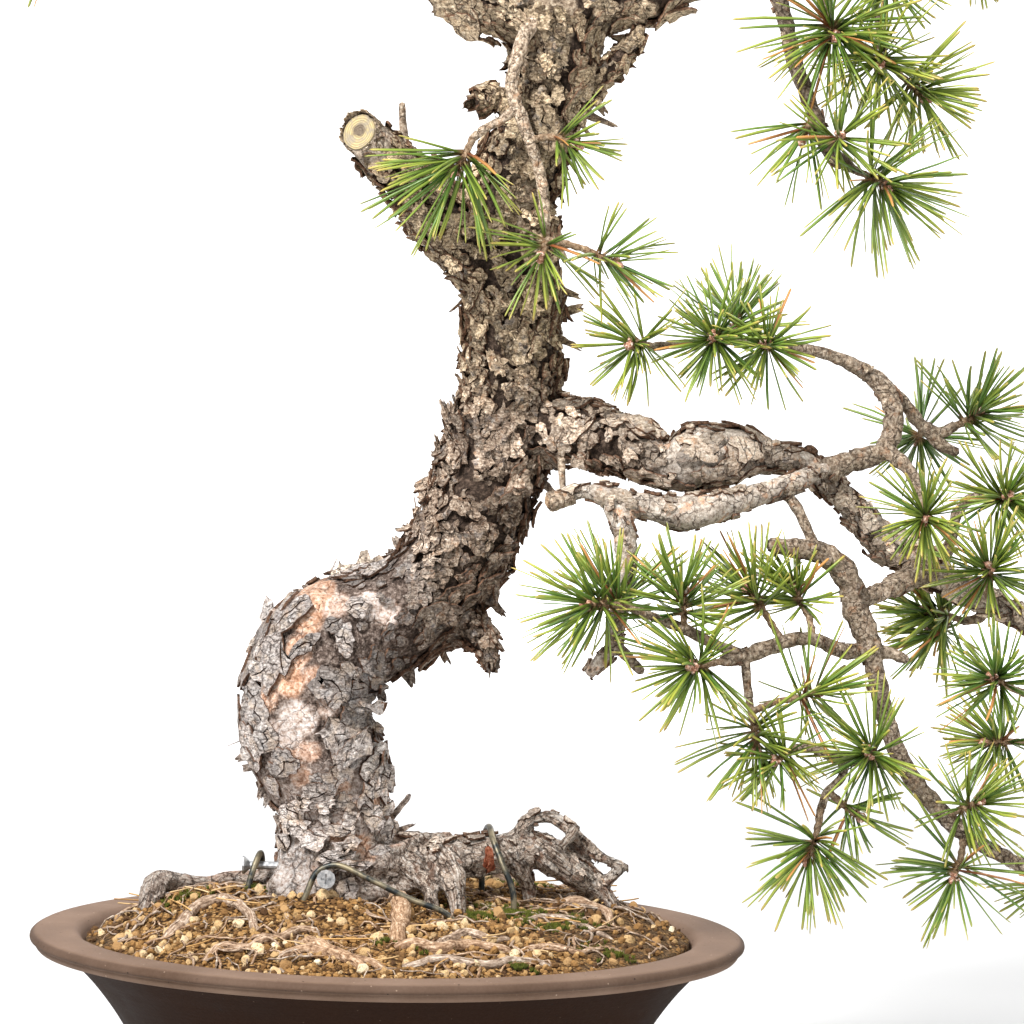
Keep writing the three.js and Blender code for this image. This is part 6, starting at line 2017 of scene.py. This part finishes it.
def bareness(points):
    """How bare the inner bark is at each point, and how pale it is there."""
    bare, pale = np.zeros(len(points)), np.zeros(len(points))
    front = smoothstep(14, 2, points[:, 1])
    wander = 2.2 * noise(points, 6, 31)
    for x, z, radius, tone in BARE_PATCHES:
        reach = np.hypot(points[:, 0] - x, points[:, 2] - z) + wander
        here = smoothstep(radius + 2.5, radius - 0.5, reach) * front
        pale = np.where(here > bare, tone, pale)
        bare = np.maximum(bare, here)
    silver, _ = zone_values(points)
    low = 0.5 * smoothstep(176, 150, points[:, 2] + 3 * wander) * silver
    pale = np.where(low > bare, 0.85, pale)
    bare = np.maximum(bare, low)
    behind = (1 - front) * smoothstep(0.28, 0.42, noise(points, 21, 33)) * silver
    pale = np.where(behind > bare, 0.5 + 0.5 * noise(points, 30, 34), pale)
    return np.maximum(bare, behind), pale


def nearest_limbs(points):
    """The name of the limb that each point belongs to, and that limb's radius there."""
    names = np.concatenate([[name] * len(path) for name, path in AXES.items()])
    axis = np.concatenate(list(AXES.values()))
    tree = KDTree(len(axis))
    for i, p in enumerate(axis):
        tree.insert(p[:3], i)
    tree.balance()
    nearest = np.array([tree.find(p)[1] for p in points])
    return names[nearest], axis[nearest, 3]


def limb_grain(points, owner):
    """Each point's place across, aside of and along its limb, for grain drawn out along it."""
    grain = np.zeros((len(points), 3))
    for name in MELTED:
        limb, mine = Limb(name), owner == name
        if not mine.any():
            continue
        gap = np.linalg.norm(points[mine][:, None] - limb.centres[None, ::2], axis=2)
        near = np.minimum(gap.argmin(axis=1) * 2, limb.length)
        away = points[mine] - limb.centres[near]
        grain[mine, 0] = (away * limb.across[near]).sum(axis=1)
        grain[mine, 1] = (away * limb.aside[near]).sum(axis=1)
        grain[mine, 2] = near * GRAIN_STRETCH
    return grain


def add_inner_wood():
    """The skin of all thick limbs, with its lumps, its bare places and the roots' fibre."""
    points, normals, faces = melted_wood()
    bare, pale = bareness(points)
    owner, thick = nearest_limbs(points)
    root = np.char.startswith(owner, "root").astype(float)
    foot = (owner == "trunk") * smoothstep(124, 108, points[:, 2])
    plated = np.isin(owner, [name for name in PLATED if name != "front_limb"]) & (thick > 3)
    cream = np.isin(owner, ["front_limb", "front_drop"]).astype(float)
    cream += (owner == "first_branch") * smoothstep(95, 125, points[:, 0])
    grey = np.clip(root + cream + (owner == "sawn_stub"), 0, 1)
    silver, _ = zone_values(points)
    ridges = layered_noise(points, 7, 5) * 1.1 + layered_noise(points * [1, 1, 0.4], 3.0, 9) * 0.9
    rough = np.clip(thick / 10, 0.22, 1.0) * (1 - 0.55 * bare) * np.where(plated, 1.0, 0.7)
    rough *= 1 + 0.6 * root
    lumps = swelling(points) * np.clip(thick / 14, 0, 1)
    moved = points + normals * (ridges * rough - 0.3 * plated + lumps)[:, None]
    grain = limb_grain(points, owner)
    shape = Shape()
    shape.add(
        moved, faces, bare=bare, pale=pale, silver=silver * plated, root=np.maximum(root, foot),
        # Where limb and bare are both 0, the skin takes the painted shade between plates.
        limb=np.maximum.reduce([1.0 - plated, root, foot, cream]) * (1 - bare),
        smooth=np.maximum(grey, foot),
        grain_x=grain[:, 0], grain_y=grain[:, 1], grain_z=grain[:, 2],
    )
    piece("inner_wood", shape, [INNER_BARK], ["tree_wood"])


def add_wood():
    """The thick limbs: flakes of bark, ones that stand loose, and the skin beneath them."""
    rng = np.random.default_rng(21)
    limbs = {name: Limb(name) for name in PLATED + ROUGH_TWIGS}
    pieces = {"trunk_bark": ["trunk"], "limb_bark": PLATED[1:], "twig_scales": ROUGH_TWIGS}
    for name, members in pieces.items():
        shape = Shape()
        for member in members:
            cover_limb(limbs[member], shape, rng, COVER.get(member, 1.0))
        piece(name, shape, [PLATE], ["tree_wood"])
    shape = Shape()
    add_loose_flakes(limbs["trunk"], shape, rng)
    piece("loose_bark", shape, [PLATE], ["tree_wood"], smooth=False)
    add_inner_wood()


def add_thin_limbs():
    """Thin branches and twigs, a peg and the front limb's blunt end: tubes with swellings."""
    rng = np.random.default_rng(22)
    shape = Shape()
    for order, name in enumerate(LIMBS):
        if name in MELTED:
            continue
        path = limb_path(name, 1.3)
        sides = 14 if path[:, 3].max() > 3 else 11
        radii = path[:, 3:4] * np.ones((1, sides))
        angle = ring_angles(sides)
        around = np.stack([np.cos(angle), np.sin(angle), np.zeros(sides)], 1) * 2.4
        field = path[:, None, :3] + around[None]
        bumps = layered_noise(field.reshape(-1, 3), 3.6, order + 3).reshape(len(path), sides)
        rings = np.sin(np.arange(len(path)) * 1.3 / rng.uniform(1.1, 1.5))[:, None]
        radii = radii * (1 + (0.13 if sides == 11 else 0.2) * bumps + 0.05 * rings)
        dark = 0.85 if name.startswith("cascade") else 0.35 * rng.uniform()
        if name.startswith("drop"):
            dark = -0.75
        tube(shape, path[:, :3], radii, sides, young=0.0, dark=dark)
    peg = [[74.5, -9, 308, 1.9], [74.2, -15, 304, 1.8], [74.5, -17, 299, 1.6], [75, -18, 293, 1.4]]
    peg = smooth_path(peg, 1)
    tube(shape, peg[:, :3], peg[:, 3], 10, rounded=0.3, young=0.0, dark=-0.4)
    knob = [[80, -41, 291, 3.6], [75, -41, 289.6, 3.9], [71, -41.5, 288.6, 4.6], [68.6, -42, 288, 4.4]]
    knob = smooth_path(knob, 0.8)
    swollen = knob[:, 3:4] * (1 + 0.07 * rng.uniform(-1, 1, (len(knob), 16)))
    tube(shape, knob[:, :3], swollen, 16, rounded=0.1, young=0.0, dark=-0.3)
    core = knob[-2:, :3] - [0.8, 0, 0.2]
    tube(shape, core, np.array([3.1, 2.9]), 16, rounded=0.35, young=0.6, dark=-0.6)
    piece("thin_limbs", shape, [TWIG], ["tree_wood"])


def add_wire_pad():
    """A strip of red inner bark between the tie wire and the root."""
    rng = np.random.default_rng(25)
    root, shape = Limb("root_right"), Shape()
    angle, along = root.facing(45.5, 124)
    for order, (half_wide, half_long) in enumerate(((8.5, 2.1), (4.5, 1.6))):
        outline = torn_outline(rng, half_long, half_wide, math.pi / 2, 1.2, 0.14)
        here, height = (angle + 0.1 * order, along - 0.6 * order), 2.3 + 0.7 * order
        add_plate(root, shape, rng, here, outline, height, 0.9, (0.0, 0.0), 0.0)
    piece("wire_pad", shape, [PAD], ["tree_wood"])


def add_sawn_end():
    """The old stub's end: a collar that turns to the slanting cut, the ringed face and a torn rim."""
    rng = np.random.default_rng(23)
    path = limb_path("sawn_stub", 1)
    start, way = path[-7, :3], unit(path[-1, :3] - path[-7, :3])
    face_middle = frame_point(347.5, 131.5, -29)
    cut = unit(np.array([-0.52, -0.80, 0.30]))
    sides, steps = 44, 9
    angle = ring_angles(sides)
    cos, sin = np.cos(angle)[:, None], np.sin(angle)[:, None]
    wobble = noise(np.concatenate([cos, sin, 0 * sin], axis=1) * 6, 3.5, 5)
    shape, rings = Shape(), []
    for t in np.linspace(0, 1, steps):
        normal = unit(way * (1 - t**1.5) + cut * t**1.5)
        across = unit(np.cross(normal, [0, 0, 1]))
        aside = np.cross(normal, across)
        uneven = 1 + (0.05 * wobble + 0.02 * rng.normal(size=sides)) * (0.4 + t)
        reach = ((10.3 * (1 - t) + 9.0 * t) * uneven)[:, None]
        centre = start * (1 - t) + face_middle * t
        rings.append(centre + across * (cos * reach) + aside * (sin * reach))
    points = np.concatenate(rings + [[start, face_middle - cut * 1.2]])
    along = np.concatenate([np.repeat(np.arange(steps) * 2.4, sides), [0, 20]]) * GRAIN_STRETCH
    spin = np.concatenate([np.tile(angle, steps), [0, 0]])
    shape.add(
        points, closed_rings(steps, sides), limb=1.0, smooth=0.4,
        grain_x=10 * np.cos(spin), grain_y=10 * np.sin(spin), grain_z=along,
    )
    piece("stub_collar", shape, [INNER_BARK], ["tree_wood"])
    add_sawn_face(face_middle, cut, across * cos + aside * sin, 8.6 * (1 + 0.03 * wobble))
    add_stub_rim(rng, face_middle, cut, across, aside)


def add_sawn_face(middle, cut, out, reach):
    """The face, lowest in its middle: rings of a shared outline, each with its share and its height."""
    levels = [(0.96, -1.5), (0.96, 0.7), (0.9, 0.85), (0.7, 0.7), (0.5, 0.55), (0.3, 0.4), (0.12, 0.2)]
    rings = [middle + out * (reach * share)[:, None] + cut * height for share, height in levels]
    shares = [np.full(len(reach), share) for share, _ in levels]
    points = np.concatenate(rings + [[middle - cut * 2, middle + cut * 0.1]])
    shape = Shape()
    shape.add(points, closed_rings(len(levels), len(reach)), out=np.concatenate(shares + [[1, 0]]))
    piece("sawn_face", shape, [CUT_WOOD], ["tree_wood"])


def add_stub_rim(rng, middle, cut, across, aside):
    """Torn flakes round the face, longest at its top."""
    shape = Shape()
    top = math.atan2(aside @ [-0.5, 0, 1.0], across @ [-0.5, 0, 1.0])
    for turn in np.arange(0, 2 * math.pi, 0.2):
        normal = across * math.cos(turn) + aside * math.sin(turn)
        high = 0.5 + 0.5 * math.cos(turn - top)
        root = middle + normal * 9.2 - cut * rng.uniform(3, 5)
        tip = root + cut * (rng.uniform(3.2, 4.6) + 3.4 * high) + normal * 0.5
        width, curl = rng.uniform(2.5, 4.2), rng.uniform(-0.1, 0.05)
        look = {"silver": 0.1, "upper": 0.9, "pale": 0.0, "tone": rng.uniform(0.1, 0.6)}
        add_flake(shape, rng, root, tip, width, normal, curl, **look)
    piece("stub_rim", shape, [PLATE], ["tree_wood"], smooth=False)


# Needle sprays.


def add_needles(shape, rng, path, count, usual, widest, twig_radius, lighter):
    """Paired needles round the last stretch of a shoot."""
    along = run_along(path)
    total = along[-1]
    pairs = count // 2
    share = np.repeat((np.arange(pairs) + 0.5) / pairs, 2) + rng.normal(0, 0.02, pairs * 2)
    place = np.clip(total - NEEDLE_ZONE * (1 - share), 0, total)
    base = np.stack([np.interp(place, along, path[:, k]) for k in range(3)], 1)
    axis = unit(path[-1] - path[-3])
    across = unit(np.cross(axis, [0.2, 0.3, 0.9]))
    aside = np.cross(axis, across)
    turn = np.repeat(np.arange(pairs) * GOLDEN_ANGLE + rng.normal(0, 0.3, pairs), 2)
    turn = turn + rng.normal(0, 0.05, pairs * 2) + np.tile([-0.09, 0.09], pairs)
    lean = np.repeat(rng.normal(0, 0.2, pairs), 2) + rng.normal(0, 0.05, pairs * 2)
    lean = np.clip(np.radians(widest - (widest - 22) * share**1.15) + lean, 0.1, 2.0)
    out = across * np.cos(turn)[:, None] + aside * np.sin(turn)[:, None]
    way = axis * np.cos(lean)[:, None] + out * np.sin(lean)[:, None]
    length = usual * np.repeat(rng.uniform(0.72, 1.1, pairs), 2)
    length = length * rng.uniform(0.95, 1.05, len(way)) * (1 - 0.1 * share)
    bend = unit(rng.normal(size=way.shape) * 0.7 + axis * 0.9 + [0, 0, -0.3])
    bend = unit(bend - way * (bend * way).sum(1, keepdims=True))
    amount = rng.uniform(0.02, 0.16, len(way)) * length
    t = np.array([0, 0.3, 0.68, 0.965, 1.0])
    width = np.array([0.78, 1.0, 1.0, 0.74, 0.2]) * NEEDLE_HALF_WIDTH
    start = base + out * twig_radius * 0.5
    line = start[:, None] + way[:, None] * (length[:, None] * t)[..., None]
    line = line + bend[:, None] * (amount[:, None] * t**2)[..., None]
    keep = ~np.any([inside_wood(line[:, k], 0.2) for k in (2, 3, 4)], axis=0)
    line, way, out, bend = line[keep], way[keep], out[keep], bend[keep]
    number = len(line)
    if number == 0:
        return
    side = unit(np.cross(way, bend))
    roll = rng.uniform(0, math.pi, number)[:, None] + t[None] * rng.uniform(-0.8, 0.8, (number, 1))
    wide = side[:, None] * np.cos(roll)[..., None] + bend[:, None] * np.sin(roll)[..., None]
    thin = np.cross(np.repeat(way[:, None], len(t), 1), wide)
    w = width[None, :, None]
    points = np.stack([line + wide * w, line + thin * w * 0.8, line - wide * w], axis=2)
    tris = np.concatenate([halved(ring_faces(len(t), 3)), [[0, 2, 1], [12, 13, 14]]])
    faces = tris[None] + (np.arange(number) * 15)[:, None, None]
    tint = np.clip(rng.normal(0.45 + lighter, 0.24, number), 0, 1)
    dead = (rng.uniform(0, 1, number) < 0.03).astype(float)
    shape.add(
        points, faces.reshape(-1, 3),
        along=np.tile(np.repeat(t, 3), number), tint=np.repeat(tint, 15), dead=np.repeat(dead, 15),
    )


def add_bud(shape, place, way, size):
    """A pointed bud: rings that swell and close, with a twist of scales."""
    rings, sides = 7, 10
    t = np.linspace(0, 1, rings)
    line = place + way[None] * (t * size * 2.6)[:, None]
    swell = np.sin(np.clip(t * 0.92 + 0.08, 0, 1) * math.pi) ** 0.75 * size
    turn = np.arange(sides)[None] * 2 * math.pi * 3 / sides + np.arange(rings)[:, None] * 2.0
    scale = 1 + 0.14 * np.sin(turn)
    tube(shape, line, np.maximum(swell[:, None] * scale, 0.12), sides, 2, rounded=0.3)


def add_sprays():
    """The needle sprays: each shoot is a young twig with needles round it and buds at its end."""
    rng = np.random.default_rng(31)
    for name, shoots in SPRAYS.items():
        shape = Shape()
        lighter = rng.normal(0, 0.1)
        for points in shoots:
            path = smooth_path(points, 1.4)
            t = np.linspace(0, 1, len(path))
            radii = (1.75 - 0.45 * t)[:, None] * (1 + 0.14 * rng.uniform(-1, 1, (len(path), 8)))
            radii *= 1 + 0.1 * np.sin(np.arange(len(path)) * 2.1)[:, None]
            tube(shape, path, radii, 8, 1, young=0.35 + 0.5 * t)
            count, length, widest = SPRAY_NEEDLES.get(name, (NEEDLES_A_SHOOT, NEEDLE_LENGTH, 98))
            add_needles(shape, rng, path, count, length, widest, 1.2, lighter)
            way = unit(path[-1] - path[-3])
            add_bud(shape, path[-1] - way * 0.6, way, rng.uniform(1.7, 2.2))
            for _ in range(rng.integers(2, 5)):
                aside = unit(np.cross(way, rng.normal(size=3)))
                foot = path[-1] - way * 1.2 + aside * 1.4
                add_bud(shape, foot, unit(way + aside * 0.6), rng.uniform(1.0, 1.5))
        piece("needles_" + name, shape, [NEEDLE, TWIG, BUD], ["spray_" + name])


# Wires, screws and the drain mesh.


def add_wires():
    """The tie wires: out of a hook under the pot, over the root or trunk and back, or to a screw."""
    for name, (points, hooks) in WIRES.items():
        hooked = []
        for x, y in hooks:
            out = -1 if x < 0 else 1
            hooked.append([
                [x + 10 * out, y, 5.6], [x + 3 * out, y, 5.6], [x + 0.6 * out, y, 7.4], [x, y, 12],
                [x, y, 60],
            ])
        route = hooked[0] + points + (hooked[1][::-1] if len(hooked) > 1 else [])
        shape = Shape()
        path = smooth_path(route, 1.5)
        tube(shape, path, np.full(len(path), WIRE_RADIUS), 12)
        piece(name + "_smooth", shape, [WIRE], [name])


def recoat(name, material):
    """A CAD node that keeps its shape and gets a better material."""
    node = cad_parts[name]
    node.data.materials.clear()
    node.data.materials.append(material)


add_camera()
add_stage()
add_pot()
add_soil()
add_grains()
add_surface_roots()
add_litter()
add_moss()
add_wood()
add_thin_limbs()
add_wire_pad()
add_sawn_end()
add_sprays()
add_wires()
for name, material in (("screw_front", ZINC), ("screw_left", ZINC), ("drain_mesh", PLASTIC)):
    recoat(name, material)
